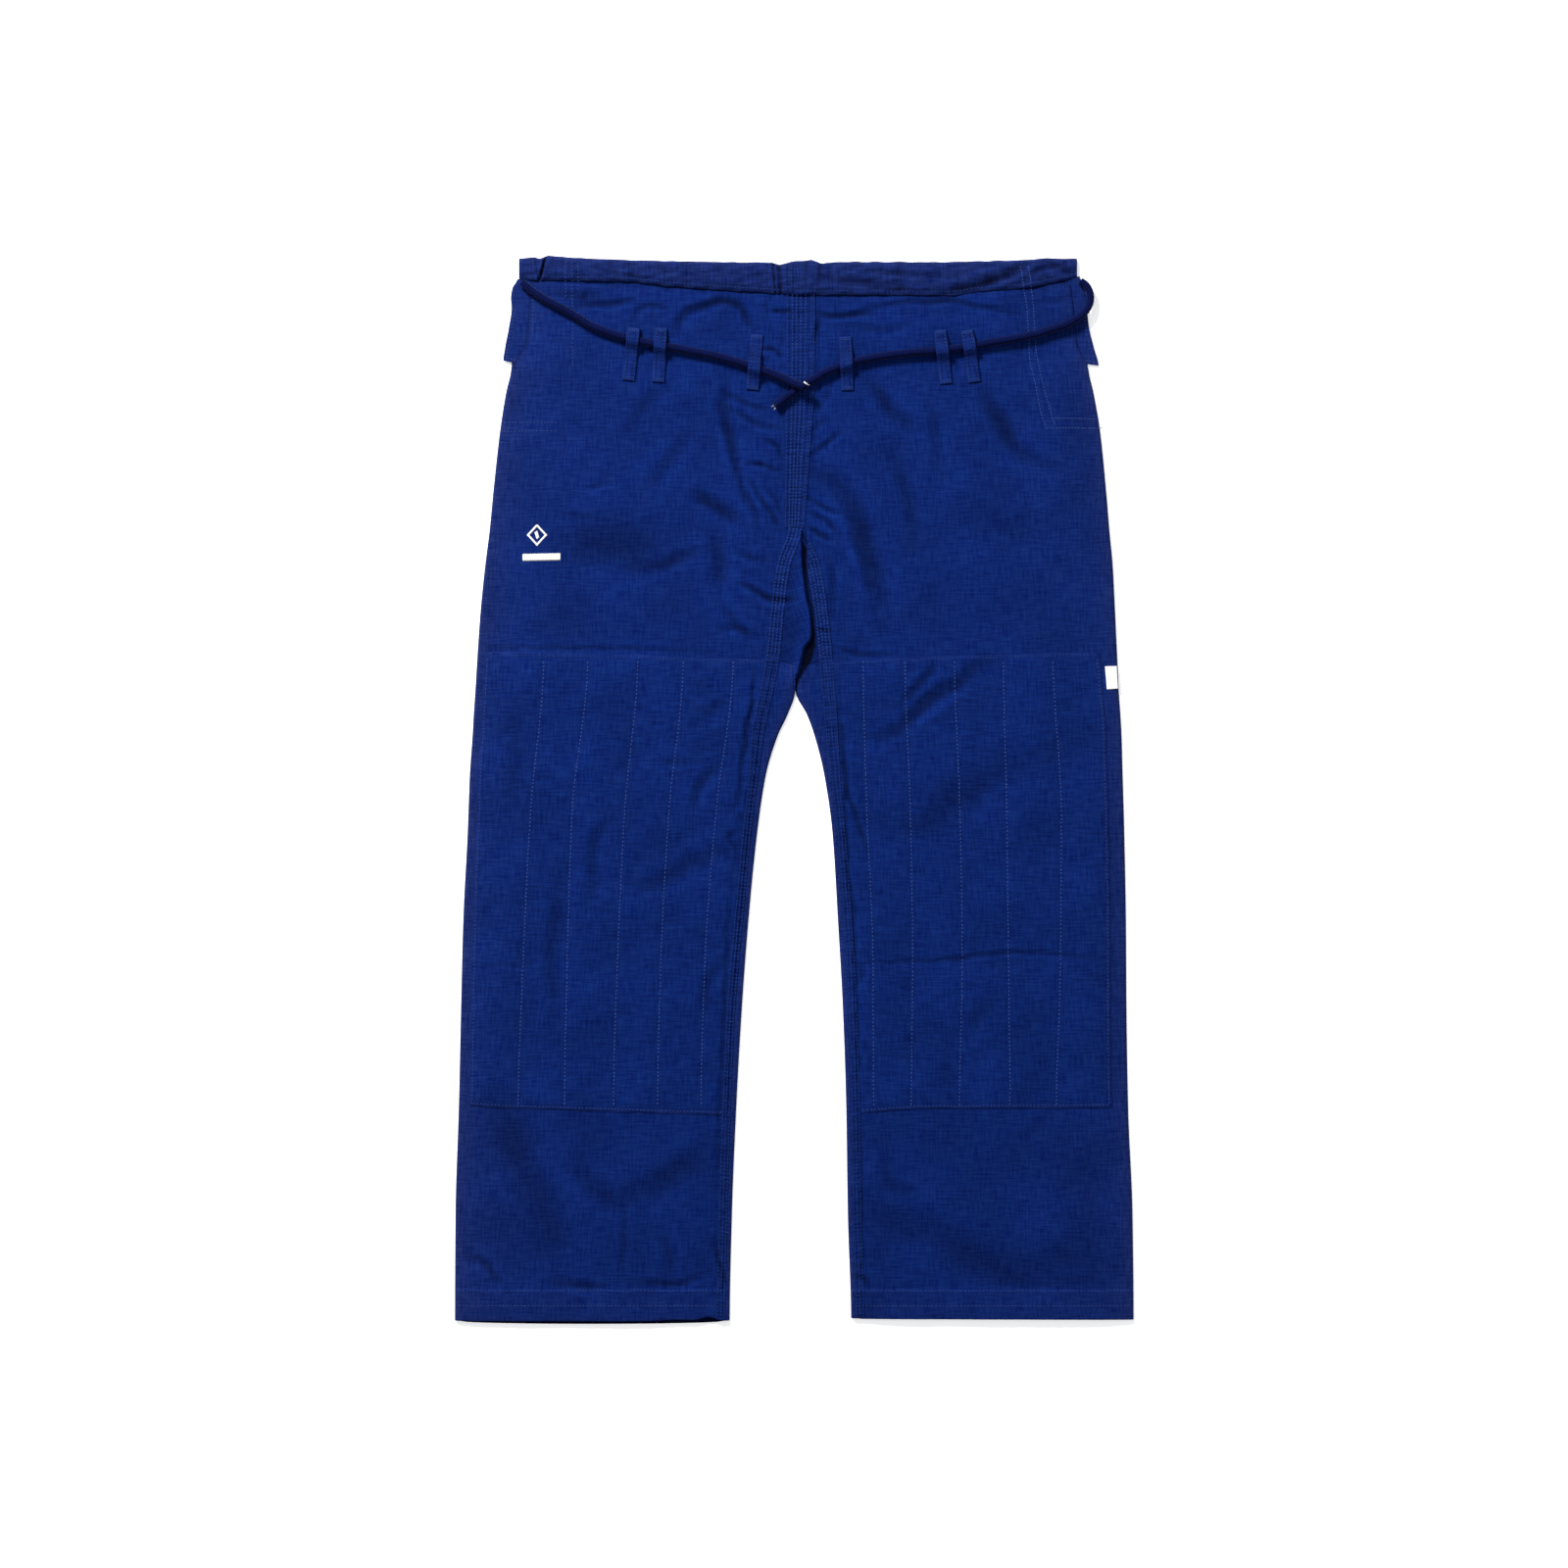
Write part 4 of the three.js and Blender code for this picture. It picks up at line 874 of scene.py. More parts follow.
# ---- Side vents ----
VENTS = {
    # y at the front panel, then x and y of the outer edge, from the top down
    "left": [(464, -252, 464), (456, -256.2, 456), (447, -257.6, 447), (438, -257, 438), (420, -259.4, 420),
             (401.5, -263, 401), (387.5, -264.5, 390)],
    "right": [(466.4, 259.5, 466.4), (456, 266.4, 456), (448, 267.8, 448), (438, 266.4, 438), (420, 268, 420),
              (401.5, 272.5, 401), (387, 276.5, 385.5)],
}
VENT_FOOT = {"left": -253.5, "right": 264.8}  # x of the inner corner at the foot
VENT_LENGTH = 77
VENT_STITCHES = 3  # in from the outer edge


def vent(side):
    leg = SIDES[side]
    inner_y, outer_x, outer_y = np.array(VENTS[side]).T
    at = np.linspace(0, 1, len(inner_y))
    t = np.linspace(0, 1, 56)
    inner_y = np.interp(t, at, inner_y)
    outer_x = smooth_curve(at, outer_x)(t)
    outer_y = np.interp(t, at, outer_y)
    front_x = outline[f"{side}_edge"](inner_y) + leg["inward"] * (leg["vent"] + 2)
    inner_x = np.where(t > at[-2], mix(front_x, VENT_FOOT[side], (t - at[-2]) / (1 - at[-2])), front_x)
    u = np.array([0, 0.04, 0.12, 0.3, 0.5, 0.7, 0.88, 0.96, 1])
    x = mix(outer_x[:, None], inner_x[:, None], u)
    y = mix(outer_y[:, None], inner_y[:, None], u)
    from_foot = (1 - t)[:, None] * VENT_LENGTH
    border = np.minimum(np.abs(x - outer_x[:, None]), from_foot)
    z = FRONT_UNDER + CLOTH - 0.5 * np.exp(-border / 0.6) - 0.25 * np.exp(-((border - VENT_STITCHES) ** 2))
    z = z + 0.5 * np.sin(y / 6.5) * np.exp(-from_foot / 30) * (1 - u)
    worn = 0.6 * np.exp(-border / 4) + 0.2
    return points(x, y, z), points(x, y, FRONT_UNDER), np.stack([x, y], -1), worn, np.zeros(x.shape)


for side in SIDES:
    add_shell(f"vent_{side}", [vent(side)], [f"vent_facing_{side}"])


# ---- Felled seams: narrow bands over the joins ----
def top_surface():
    vertices, faces, start = [], [], 0
    for surface_vertices, surface_faces in surfaces:
        vertices.append(surface_vertices)
        faces.append(surface_faces + start)
        start += len(surface_vertices)
    return BVHTree.FromPolygons(np.concatenate(vertices).tolist(), np.concatenate(faces).tolist())


HIGH_ABOVE = 60
HEIGHT_BESIDE = 5.0


def height_on(x, y):
    """The height of the cloth under each point, or a usual one beside the cloth."""
    down = Vector((0, 0, -1))
    hits = [surface_tree.ray_cast(Vector((px, py, HIGH_ABOVE)), down)[0] for px, py in zip(x.ravel(), y.ravel())]
    return np.array([HEIGHT_BESIDE if hit is None else hit.z for hit in hits]).reshape(x.shape)


def travelled_along(line):
    """How far along a line each of its points is."""
    return np.concatenate([[0], np.cumsum(np.linalg.norm(np.diff(line, axis=0), axis=1))])


def at_distances(line, s):
    """The points at these distances along a line."""
    travelled = travelled_along(line)
    return np.stack([np.interp(s, travelled, values) for values in line.T], 1)


def even_points(line, count):
    return at_distances(line, np.linspace(0, travelled_along(line)[-1], count))


def band(left, right, lengthways, across, proud, seed, grooves):
    """A band between two lines, lying on what is there, with grooves along it at these shares of its width.

    lengthways and across are how many points it has, and proud is how high it stands.
    """
    a, b = (even_points(rounded(line), lengthways) for line in (left, right))
    width = np.hypot(*(b - a).mean(0))
    rim = np.array([0, 0.25, 0.8]) / width
    u = np.concatenate([rim, np.linspace(1.8 / width, 1 - 1.8 / width, across), 1 - rim[::-1]])
    x, y = np.moveaxis(mix(a[:, None, :], b[:, None, :], u[None, :, None]), -1, 0)
    smooth, hollow = form(x, y)
    base = np.maximum(height_on(x, y), smooth)
    # it bridges what is hollow under it
    for _ in range(2):
        base[:, 1:-1] = np.maximum(base[:, 1:-1], (base[:, :-2] + base[:, 2:]) / 2)
    border = np.minimum(u, 1 - u) * width
    shape = 1 - np.exp(-border / 0.45)
    along = np.cumsum(np.hypot(*np.diff(a, axis=0, prepend=a[:1]).T))[:, None]
    pucker = np.sin(along / 0.62 + 2.2 * np.sin(along / 5.1 + seed) + 3 * u)
    groove = sum(np.exp(-(((u - share) * width / 0.85) ** 2)) for share in grooves)
    z = base + 0.12 + shape * (proud + 0.1 * waves(x, y, 8, seed) + 0.13 * pucker - 0.42 * groove)
    uv = np.stack([x + 60, y], -1)
    worn = 0.1 + 0.1 * np.exp(-border / 0.9) + 0 * x
    # painted shade in the grooves and along the edges, painted highlight on the puckers
    hollow = hollow + 0.4 * pucker - 0.8 * groove - 0.2 - 0.8 * np.exp(-border / 0.6)
    return points(x, y, z), points(x, y, np.minimum(base + 0.06, z - 0.04)), uv, worn, hollow


def beside(line, low, high):
    """The two lines at these distances to the right of a line that runs down."""
    line = np.asarray(line, float)
    along = np.gradient(line, axis=0)
    along /= np.hypot(*along.T)[:, None]
    across = np.stack([-along[:, 1], along[:, 0]], 1)
    low, high = np.broadcast_to(low, len(line)), np.broadcast_to(high, len(line))
    return line + across * low[:, None], line + across * high[:, None]


surface_tree = top_surface()
crotch_x, crotch_y = np.array(CROTCH_FOLD)[::-1, :2].T
right_line = FELL_LINES["gusset_right"]
# the right band comes out from under the fold
right_low = np.maximum(-6.4, np.interp(right_line[:, 1], crotch_y, crotch_x) + 1.8 - right_line[:, 0])
# half the width of the inseams' bands, which narrow from the crotch down
inseam_half = {side: np.interp(FELL_LINES[f"inseam_{side}"][::-1, 1], [-481, 0, 60, 122], [3.9, 3.9, 6.4, 6.6])[::-1]
               for side in SIDES}
FELL_PROUD = 0.6
SEAT_LEFT, SEAT_RIGHT = [(-1.5, 116), (-0.9, 100), (-0.3, 89.4)], [(4.2, 116), (3.2, 100), (2.3, 89.4)]
bands = {
    "rise_fell": band(RISE_LEFT, RISE_RIGHT, 260, 30, FELL_PROUD, seed=31, grooves=(0.15, 0.31, 0.44, 0.59, 0.8)),
    "gusset_fell_left": band(*beside(FELL_LINES["gusset_left"], -6.6, 6.4), 150, 16, FELL_PROUD, seed=32,
                             grooves=(0.25, 0.5, 0.75)),
    "gusset_fell_right": band(*beside(right_line, right_low, 6.8), 130, 16, FELL_PROUD, seed=33,
                              grooves=(0.25, 0.5, 0.75)),
    "seat_fell": band(SEAT_LEFT, SEAT_RIGHT, 40, 6, 0.2, seed=37, grooves=(0.6,)),
}
for seed, side in enumerate(SIDES, 34):
    edges = beside(FELL_LINES[f"inseam_{side}"], -inseam_half[side], inseam_half[side])
    bands[f"inseam_fell_{side}"] = band(*edges, 640, 10, FELL_PROUD, seed, grooves=(0.3, 0.7))
for name, part in bands.items():
    add_shell(name, [part])

# ---- Drawstring ----
CORD_RADIUS = 3.5
CORD_ROUTES = {
    "left": [
        (-247, 460.5, 6.9), (-240, 454.6, 7.9), (-231, 448.1, 8.4), (-220.3, 441.9, 8.7), (-208.3, 435.7, 8.9),
        (-197, 429, 9), (-185.6, 421.9, 9), (-174, 417, 9), (-162.8, 413, 9), (-152.6, 410.3, 9), (-142.8, 408, 9),
        (-134.8, 406.1, 9), (-122.4, 403.8, 9), (-107.2, 401, 9), (-93.5, 398.2, 9), (-82.3, 396.1, 9),
        (-70.8, 393.6, 9), (-56.5, 389.8, 9), (-43.5, 385.6, 9), (-35.2, 383.1, 9.1), (-25.4, 379.6, 9.7),
        (-13.8, 375.2, 11.4), (-4.9, 371, 13.9), (1.6, 367.7, 16), (6.3, 365.9, 17), (9.3, 366.3, 17.5),
        (10.6, 367.7, 17.9),
    ],
    "right": [
        (259.8, 461.8, 6.8), (263.5, 459.4, 6.8), (266.6, 455.8, 6.7), (268.4, 451, 6.6), (268.9, 445.6, 6.6),
        (267.8, 440.2, 6.8), (265.1, 435.3, 7.2), (261, 431, 7.6), (255, 426.6, 8), (247, 422.5, 8.4),
        (239, 419.5, 8.7), (229.2, 416.7, 8.9), (220.8, 414, 9), (208.7, 411.3, 9), (198, 409.1, 9),
        (181.1, 406.3, 9), (164.2, 403.3, 9), (145.9, 400.5, 9), (126.6, 398.5, 9), (107.2, 396.9, 9),
        (84.6, 394.3, 9), (61.9, 390.3, 9), (51.2, 388, 9), (41.7, 384.6, 9), (33.4, 381.1, 9), (25.7, 377.4, 9),
        (16.5, 372, 9), (8.5, 367.1, 9), (0.4, 361.8, 9), (-8.5, 355.5, 9), (-17.4, 348.4, 9),
    ],
}
STRANDS = 8
STRAND_PITCH = 3.3


def turns(count):
    return np.linspace(0, 2 * np.pi, count + 1)[:-1]


def rings(centres, radius, axis, turn, lean=(0, 0, 1)):
    """Rings of points round centres, square to the axis there. lean is a direction that no axis has."""
    across = np.cross(axis, lean)
    across /= np.linalg.norm(across, axis=-1, keepdims=True)
    up = np.cross(across, axis)
    turn = turn[None, :, None]
    return centres + radius * (np.cos(turn) * across[:, None, :] + np.sin(turn) * up[:, None, :])


def axes(line):
    """The direction of a line at each of its points."""
    way = np.gradient(line, axis=0)
    return way / np.linalg.norm(way, axis=1)[:, None]


def ring_faces(rows, columns, start=0):
    """The quads between rows of closed rings."""
    r, c = np.meshgrid(np.arange(rows - 1), np.arange(columns), indexing="ij")
    first = (start + r * columns + c).ravel()
    following = (start + r * columns + (c + 1) % columns).ravel()
    return np.stack([first, following, following + columns, first + columns], 1)


cord_lines = {}


def add_cord(side):
    route = rounded(CORD_ROUTES[side], 10)
    length = travelled_along(route)[-1]
    s = np.linspace(0, length, int(length / 0.55))
    line = at_distances(route, s)
    cord_lines[side] = line
    turn = turns(40)
    # two sets of strands wind round in opposite directions and pass over each other in turn
    a = STRANDS * turn[None, :] / (2 * np.pi) + s[:, None] / STRAND_PITCH
    b = STRANDS * turn[None, :] / (2 * np.pi) - s[:, None] / STRAND_PITCH
    hump_a, hump_b = np.sin(np.pi * (a % 1)), np.sin(np.pi * (b % 1))
    over = (np.floor(a) + np.floor(b)) % 2 == 0
    plait = np.where(over, hump_a * (0.55 + 0.45 * hump_b), hump_b * (0.55 + 0.45 * hump_a))
    radius = CORD_RADIUS - 0.5 + 0.5 * plait
    ring = rings(line[:, None, :], radius[..., None], axes(line), turn)
    rows, columns = radius.shape
    vertices = np.concatenate([ring.reshape(-1, 3), line[:1], line[-1:]])
    c = np.arange(columns)
    start_cap = np.stack([(c + 1) % columns, c, np.full(columns, rows * columns)], 1)
    last = (rows - 1) * columns
    end_cap = np.stack([last + c, last + (c + 1) % columns, np.full(columns, rows * columns + 1)], 1)
    uv = np.stack(np.broadcast_arrays(CORD_RADIUS * turn[None, :], s[:, None]), -1).reshape(-1, 2)
    # the plait also paints the colour: painted highlight on the strand crests, painted shade between them
    made = new_object(f"cord_{side}", vertices, [ring_faces(rows, columns), start_cap, end_cap],
                      np.vstack([uv, uv[:2]]), 70, worn=np.append(plait.ravel(), [0.5, 0.5]))
    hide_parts(f"drawstring_{side}")


for side in SIDES:
    add_cord(side)


def add_tubes(name, lines, radius):
    """Thin threads along lines of points, as one piece."""
    vertices, faces, start = [], [], 0
    turn = turns(5)
    for line in lines:
        thinning = np.clip(np.linspace(2.2, 0.35, len(line)), 0, 1) * radius
        ring = rings(line[:, None, :], thinning[:, None, None], axes(line), turn, (0.03, 0.02, 1))
        faces.append(ring_faces(len(line), len(turn), start))
        vertices.append(ring.reshape(-1, 3))
        start += len(line) * len(turn)
    made = new_object(name, np.concatenate(vertices), [np.concatenate(faces)], smooth_angle=80)


def fray(centre, direction, count, spread, reach, seed, low=0.0):
    """Loose fibres that start round a cut end and splay out along a direction."""
    rng = np.random.default_rng(seed)
    lines = []
    for _ in range(count):
        start = np.asarray(centre) + rng.normal(0, 1.15, 3)
        aim = np.asarray(direction, float) + rng.normal(0, spread, 3)
        aim /= np.linalg.norm(aim)
        bend = rng.normal(0, 0.5, 3)
        t = np.linspace(0, rng.uniform(0.5, 1) * reach, 6)[:, None]
        line = start + aim * t + bend * (t / reach) ** 2 * 1.6
        line[:, 2] = np.maximum(line[:, 2], low)
        lines.append(line)
    return lines


def add_core(name, side, seed):
    """The filling that shows where a cord has been cut."""
    line = cord_lines[side]
    axis = line[-1] - line[-6]
    axis /= np.linalg.norm(axis)
    radius = np.array([2.6, 2.55, 2.2, 1.6, 0.8, 0.02])
    out = np.array([-0.6, 0.1, 0.35, 0.45, 0.5, 0.5])
    turn = turns(32)
    rng = np.random.default_rng(seed)
    rough = rng.normal(0, 0.14, (len(radius), len(turn)))
    rough[-1] = rough[-1, 0]
    centres = line[-1] + (out[:, None, None] + rough[..., None]) * axis
    ring = rings(centres, radius[:, None, None], axis[None, :], turn)
    made = new_object(name, ring.reshape(-1, 3), [ring_faces(len(radius), len(turn))], smooth_angle=50)


add_core("cord_core_left", "left", seed=41)
add_core("cord_core_right", "right", seed=42)
left_fray = fray(cord_lines["left"][-1], (0.7, 0.7, 0.3), count=8, spread=0.4, reach=1.4, seed=43)
right_fray = fray(cord_lines["right"][-1], (-0.85, -0.1, 0.1), count=8, spread=0.5, reach=3.6, seed=44, low=6.2)
add_tubes("cord_fray_left", left_fray, 0.16)
add_tubes("cord_fray_right", right_fray, 0.15)

# ---- Belt loops ----
LOOPS = {
    # the cord it holds, x and y of its top and of its foot
    "left_outer": ("left", -145.5, 419.5, -150.4, 371.5),
    "left_middle": ("left", -121, 419.5, -123.3, 370),
    "left_inner": ("left", -33.8, 413.5, -37.8, 363),
    "right_inner": ("right", 46.3, 411.5, 48.5, 362.5),
    "right_middle": ("right", 132.2, 417.5, 138, 368.5),
    "right_outer": ("right", 156.6, 417.5, 163.8, 370),
}
LOOP_WIDTH = 11.5
LOOP_CLOTH = 1.5


def loop(side, top_x, top_y, foot_x, foot_y, seed):
    length = math.hypot(foot_x - top_x, foot_y - top_y)
    dx, dy = (foot_x - top_x) / length, (foot_y - top_y) / length
    rim = np.array([0, 0.25, 0.7])
    along = np.concatenate([rim, np.linspace(1.4, length - 1.4, 84), length - rim[::-1]])
    across = LOOP_WIDTH * np.array([-0.5, -0.48, -0.44, -0.37, -0.28, -0.14, 0, 0.14, 0.28, 0.37, 0.44, 0.48, 0.5])
    along, across = np.meshgrid(along, across, indexing="ij")
    across = across * (1 + 0.02 * np.sin(along / 6 + seed))
    x, y = top_x + dx * along - dy * across, top_y + dy * along + dx * across
    base = height_on(x, y)
    # it arches over the cord
    line = cord_lines[side]
    order = np.argsort(line[:, 0])
    cord_y = np.interp(x, line[order, 0], line[order, 1])
    cord_z = np.interp(x, line[order, 0], line[order, 2])
    clear = cord_z + CORD_RADIUS + 0.3 - base
    hump = np.maximum(clear, 0) / (1 + (np.abs(y - cord_y) / 7.5) ** 3.2)
    sides = LOOP_WIDTH / 2 - np.abs(across)
    border = np.minimum(sides, np.minimum(along, length - along))
    z = base + HALF_GAP + hump + LOOP_CLOTH - 0.75 * np.exp(-border / 0.5)
    z = z - 0.3 * np.exp(-(((sides - 2.4) / 0.8) ** 2)) + 0.12 * waves(x, y, 9, seed)
    under = np.minimum(base + 0.1 + hump, z - 0.3)
    worn = 0.2 + 0.2 * np.exp(-border / 0.9)
    # painted shade along the stitch grooves, and on the hump's upper slope that faces the light
    hollow = 0.5 - 1.2 * np.exp(-(((sides - 2.4) / 0.7) ** 2)) + 0.3 * waves(x, y, 9, seed)
    hollow = hollow - 1.9 * np.exp(-(((y - cord_y - 9) / 7) ** 2))
    return points(x, y, z), points(x, y, under), np.stack([across + 90, along], -1), worn, hollow


for number, (name, (side, *ends)) in enumerate(LOOPS.items()):
    add_shell(f"loop_{name}", [loop(side, *ends, 51 + number)], [f"belt_loop_{name}"])

# ---- White tab ----
TAB_CORNERS = [(282.3, 112.1), (292.9, 112.4), (293.9, 92), (284, 91.3)]


def tab():
    (ax, ay), (bx, by), (cx, cy), (dx, dy) = TAB_CORNERS
    v = np.concatenate([[0, 0.015], np.linspace(0.05, 0.95, 26), [0.985, 1]])[:, None]
    u = np.concatenate([[0, 0.03], np.linspace(0.1, 0.9, 12), [0.97, 1]])[None, :]
    x = mix(mix(ax, bx, u), mix(dx, cx, u), v)
    y = mix(mix(ay, by, u), mix(dy, cy, u), v)
    base = height_on(x, y)
    border = np.minimum(np.minimum(u, 1 - u) * 10.6, np.minimum(v, 1 - v) * 20.5)
    z = base.max(1, keepdims=True) + 0.75 - 0.3 * np.exp(-border / 0.5) + 0.18 * np.sin(v * 5 + u * 2)
    return points(x, y, z), points(x, y, z - 0.6), np.stack([x, y], -1), np.zeros(x.shape), np.zeros(x.shape)


add_shell("tab", [tab()], ["side_tab"])

# ---- Stitches ----
surface_tree = top_surface()
thread_random = np.random.default_rng(7)
# one stitch, 1 long, wide and high: a short tube with five sides between two points
RING = [(0.5 * math.cos(k * math.tau / 5), 0.5 * math.sin(k * math.tau / 5)) for k in range(5)]
STITCH = np.array([(-0.5, 0, 0), *((x, c, s) for x in (-0.27, 0.27) for c, s in RING), (0.5, 0, 0)])
STITCH_QUADS = np.array([(1 + k, 1 + (k + 1) % 5, 6 + (k + 1) % 5, 6 + k) for k in range(5)])
STITCH_TIPS = np.array([*((0, 1 + (k + 1) % 5, 1 + k) for k in range(5)),
                        *((11, 6 + k, 6 + (k + 1) % 5) for k in range(5))])


def add_stitches(name, rows, uneven=1.0):
    """Rows of stitches: each has a line, the pitch, then the length, width and height of a stitch, and its slant."""
    placed = []
    for line, pitch, length, width, high, slant in rows:
        line = rounded(line)
        s = np.arange(pitch / 2, travelled_along(line)[-1], pitch)
        s = s + uneven * thread_random.normal(0, 0.06 * pitch, len(s))
        x, y = at_distances(line, s).T
        ahead = at_distances(line, s + 0.4) - at_distances(line, s - 0.4)
        angle = np.arctan2(ahead[:, 1], ahead[:, 0]) + slant + uneven * thread_random.normal(0, 0.07, len(s))
        ones = np.ones(len(s))
        wander = uneven * thread_random.normal(0, 0.1, (2, len(s)))
        size = 1 + uneven * thread_random.uniform(-0.11, 0.11, len(s))
        placed.append(np.stack([x + wander[0], y + wander[1], np.cos(angle), np.sin(angle), length * size,
                                width * ones, high * ones], 1))
    x, y, dx, dy, length, width, high = np.concatenate(placed).T
    z_start = height_on(x - dx * length * 0.4, y - dy * length * 0.4)
    z_end = height_on(x + dx * length * 0.4, y + dy * length * 0.4)
    a, b, c = STITCH.T
    px = x[:, None] + dx[:, None] * length[:, None] * a - dy[:, None] * width[:, None] * b
    py = y[:, None] + dy[:, None] * length[:, None] * a + dx[:, None] * width[:, None] * b
    pz = ((z_start + z_end) / 2)[:, None] + (z_end - z_start)[:, None] * a * 1.25 + high[:, None] * (c + 0.12)
    count = len(x)
    start = (np.arange(count) * len(STITCH))[:, None, None]
    quads = (STITCH_QUADS[None] + start).reshape(-1, 4)
    tips = (STITCH_TIPS[None] + start).reshape(-1, 3)
    made = new_object(name, np.stack([px, py, pz], -1), [quads, tips], smooth_angle=85)


def offset(line, by):
    return beside(line, by, by)[0]


# pitch, then the length, width and height of a stitch, and its slant
FINE = (3.3, 2.3, 0.8, 0.55, 0)
PLAIN = (2.9, 2.4, 1.0, 0.6, 0)
CHAIN = (3.0, 2.5, 1.3, 0.7, 0)
QUILT = (3.55, 2.4, 1.35, 0.7, 0)
TACKS = (0.95, 2.0, 0.75, 0.5, math.pi / 2)

seam_rows = [(mix(RISE_LEFT, RISE_RIGHT, share), *kind) for share, kind in (
    (0.06, FINE), (0.23, CHAIN), (0.37, CHAIN), (0.51, CHAIN), (0.66, CHAIN), (0.84, FINE), (0.94, FINE))]
for by in (-5.1, -1.8, 1.6, 5):
    seam_rows.append((offset(FELL_LINES["gusset_left"], by), *CHAIN))
    seam_rows.append((offset(right_line, by)[right_low < by - 0.8], *CHAIN))
for side in SIDES:
    line = FELL_LINES[f"inseam_{side}"]
    seam_rows += [(offset(line, share * inseam_half[side]), *FINE) for share in (-0.8, 0, 0.8)]
    upper = line[line[:, 1] > 34]
    seam_rows += [(offset(upper, by), *FINE) for by in (-2.6, 2.6)]
# the centre seam goes on through the casing as five rows, beside a gather
seam_rows += [([(x, 478), (x + 0.3, 454)], *FINE) for x in (-7.6, -5, -2.4, 0.4, 3)]
for x_low, x_high in ((-246, -3), (1, 253)):
    x = np.linspace(x_low, x_high, 50)
    seam_rows.append((np.stack([x, casing_foot(x) + 2.4], 1), *FINE))
add_stitches("stitches_seams", seam_rows)


def patch_border(side, inset):
    leg = SIDES[side]
    inward = leg["inward"]
    heights = np.linspace(122 - inset, -290 + inset, 60)
    side_x = outline[f"{side}_edge"](heights) + inward * (line_at(leg["patch_side"], heights) + inset)
    seam_top, seam_foot = outline[f"{side}_seam"](np.array([120, -292])) - inward * 7
    top_x = np.linspace(side_x[0], seam_top, 40)
    foot_x = np.linspace(side_x[-1], seam_foot + inward * 2, 40)
    return [
        np.stack([side_x, heights], 1),
        np.stack([top_x, line_at(leg["patch_top"], top_x) - inset], 1),
        np.stack([foot_x, line_at(leg["patch_foot"], foot_x) + inset], 1),
    ]


patch_rows, patch_top_rows = [], []
quilt_heights = np.linspace(117, -288, 60)
for side, leg in SIDES.items():
    for line in leg["quilt"]:
        patch_rows.append((np.stack([quilt_line(line, quilt_heights), quilt_heights], 1), *QUILT))
    along_side, along_top, along_foot = patch_border(side, BORDER_STITCHES)
    patch_rows += [(along_side, *FINE), (along_foot, *FINE)]
    patch_top_rows.append((along_top, *FINE))
add_stitches("stitches_patches", patch_rows)
add_stitches("stitches_patch_tops", patch_top_rows)

REINFORCED = [
    [(-237.2, 456), (-237.4, 417.4)],
    [(-207.8, 480), (-207.6, 448)],
    [(-201.6, 480), (-201.2, 383.6)],
    [(-196.4, 480), (-196.2, 452)],
    [(-264, 333.6), (-216, 333.8)],
    [(-265, 325.6), (-216, 325.8)],
    [(205.4, 476), (208.4, 456), (211.4, 436), (213.2, 405.8), (214, 390.7), (218.5, 370), (223.8, 344.4),
     (228.3, 329.3)],
    [(212.6, 476), (215.4, 456), (217.6, 436), (218.9, 405.8), (221.2, 390.7), (225.6, 370), (232.7, 344.4),
     (237.2, 329.3)],
    [(228.3, 328.4), (280, 328.4)],
    [(233.6, 337.6), (277, 336.6)],
]
edge_rows = [(line, *(FINE if line[0][0] < 0 else PLAIN)) for line in REINFORCED]
for side in SIDES:
    inward = SIDES[side]["inward"]
    along_vent = [(x + inward * VENT_STITCHES, y) for _, x, y in VENTS[side][3:]]
    edge_rows.append((along_vent, *FINE))
    x, y = along_vent[-1]
    edge_rows.append(([(x, y + 2.6), (VENT_FOOT[side], VENTS[side][-1][0] + 2.6)], *FINE))
    # the hem is sewn down by two rows
    x_start = outline[f"{side}_edge"](-460.0) + inward * 3
    for height in (-454.9, -468.6):
        x = np.linspace(x_start, outline[f"{side}_fold"](height) - inward * 2, 50)
        edge_rows.append((np.stack([x, np.full(50, height)], 1), *FINE))
add_stitches("stitches_edges", edge_rows)

loop_rows = []
for side, top_x, top_y, foot_x, foot_y in LOOPS.values():
    top, foot = np.array([top_x, top_y]), np.array([foot_x, foot_y])
    way = (foot - top) / np.linalg.norm(foot - top)
    out = np.array([-way[1], way[0]])
    for across in (-3.4, 3.4):
        loop_rows.append(([top + way * 4 + out * across, foot - way * 4 + out * across], *FINE))
    for end, sign in ((top, 1), (foot, -1)):
        for deep in (1.3, 2.9):
            middle = end + way * sign * deep
            loop_rows.append(([middle - out * 4.6, middle + out * 4.6], *TACKS))
add_stitches("stitches_loops", loop_rows)


# ---- Generic stitched mark and bar ----
def satin(outline_points, pitch, lean):
    """Rows of satin stitch that fill a shape, one stitch from side to side each."""
    shape = np.asarray(outline_points, float)
    turned = shape @ np.array([[math.cos(lean), -math.sin(lean)], [math.sin(lean), math.cos(lean)]])
    rows = []
    for height in np.arange(turned[:, 1].min() + pitch / 2, turned[:, 1].max(), pitch):
        crossings = []
        for (ax, ay), (bx, by) in zip(turned, np.roll(turned, -1, axis=0)):
            if (ay - height) * (by - height) < 0:
                crossings.append(ax + (bx - ax) * (height - ay) / (by - ay))
        crossings.sort()
        for low, high in zip(crossings[::2], crossings[1::2]):
            if high - low > 0.8:
                rows.append(((low + high) / 2, height, high - low))
    back = np.array([[math.cos(lean), math.sin(lean)], [-math.sin(lean), math.cos(lean)]])
    return [(*(np.array([x, y]) @ back), length) for x, y, length in rows]


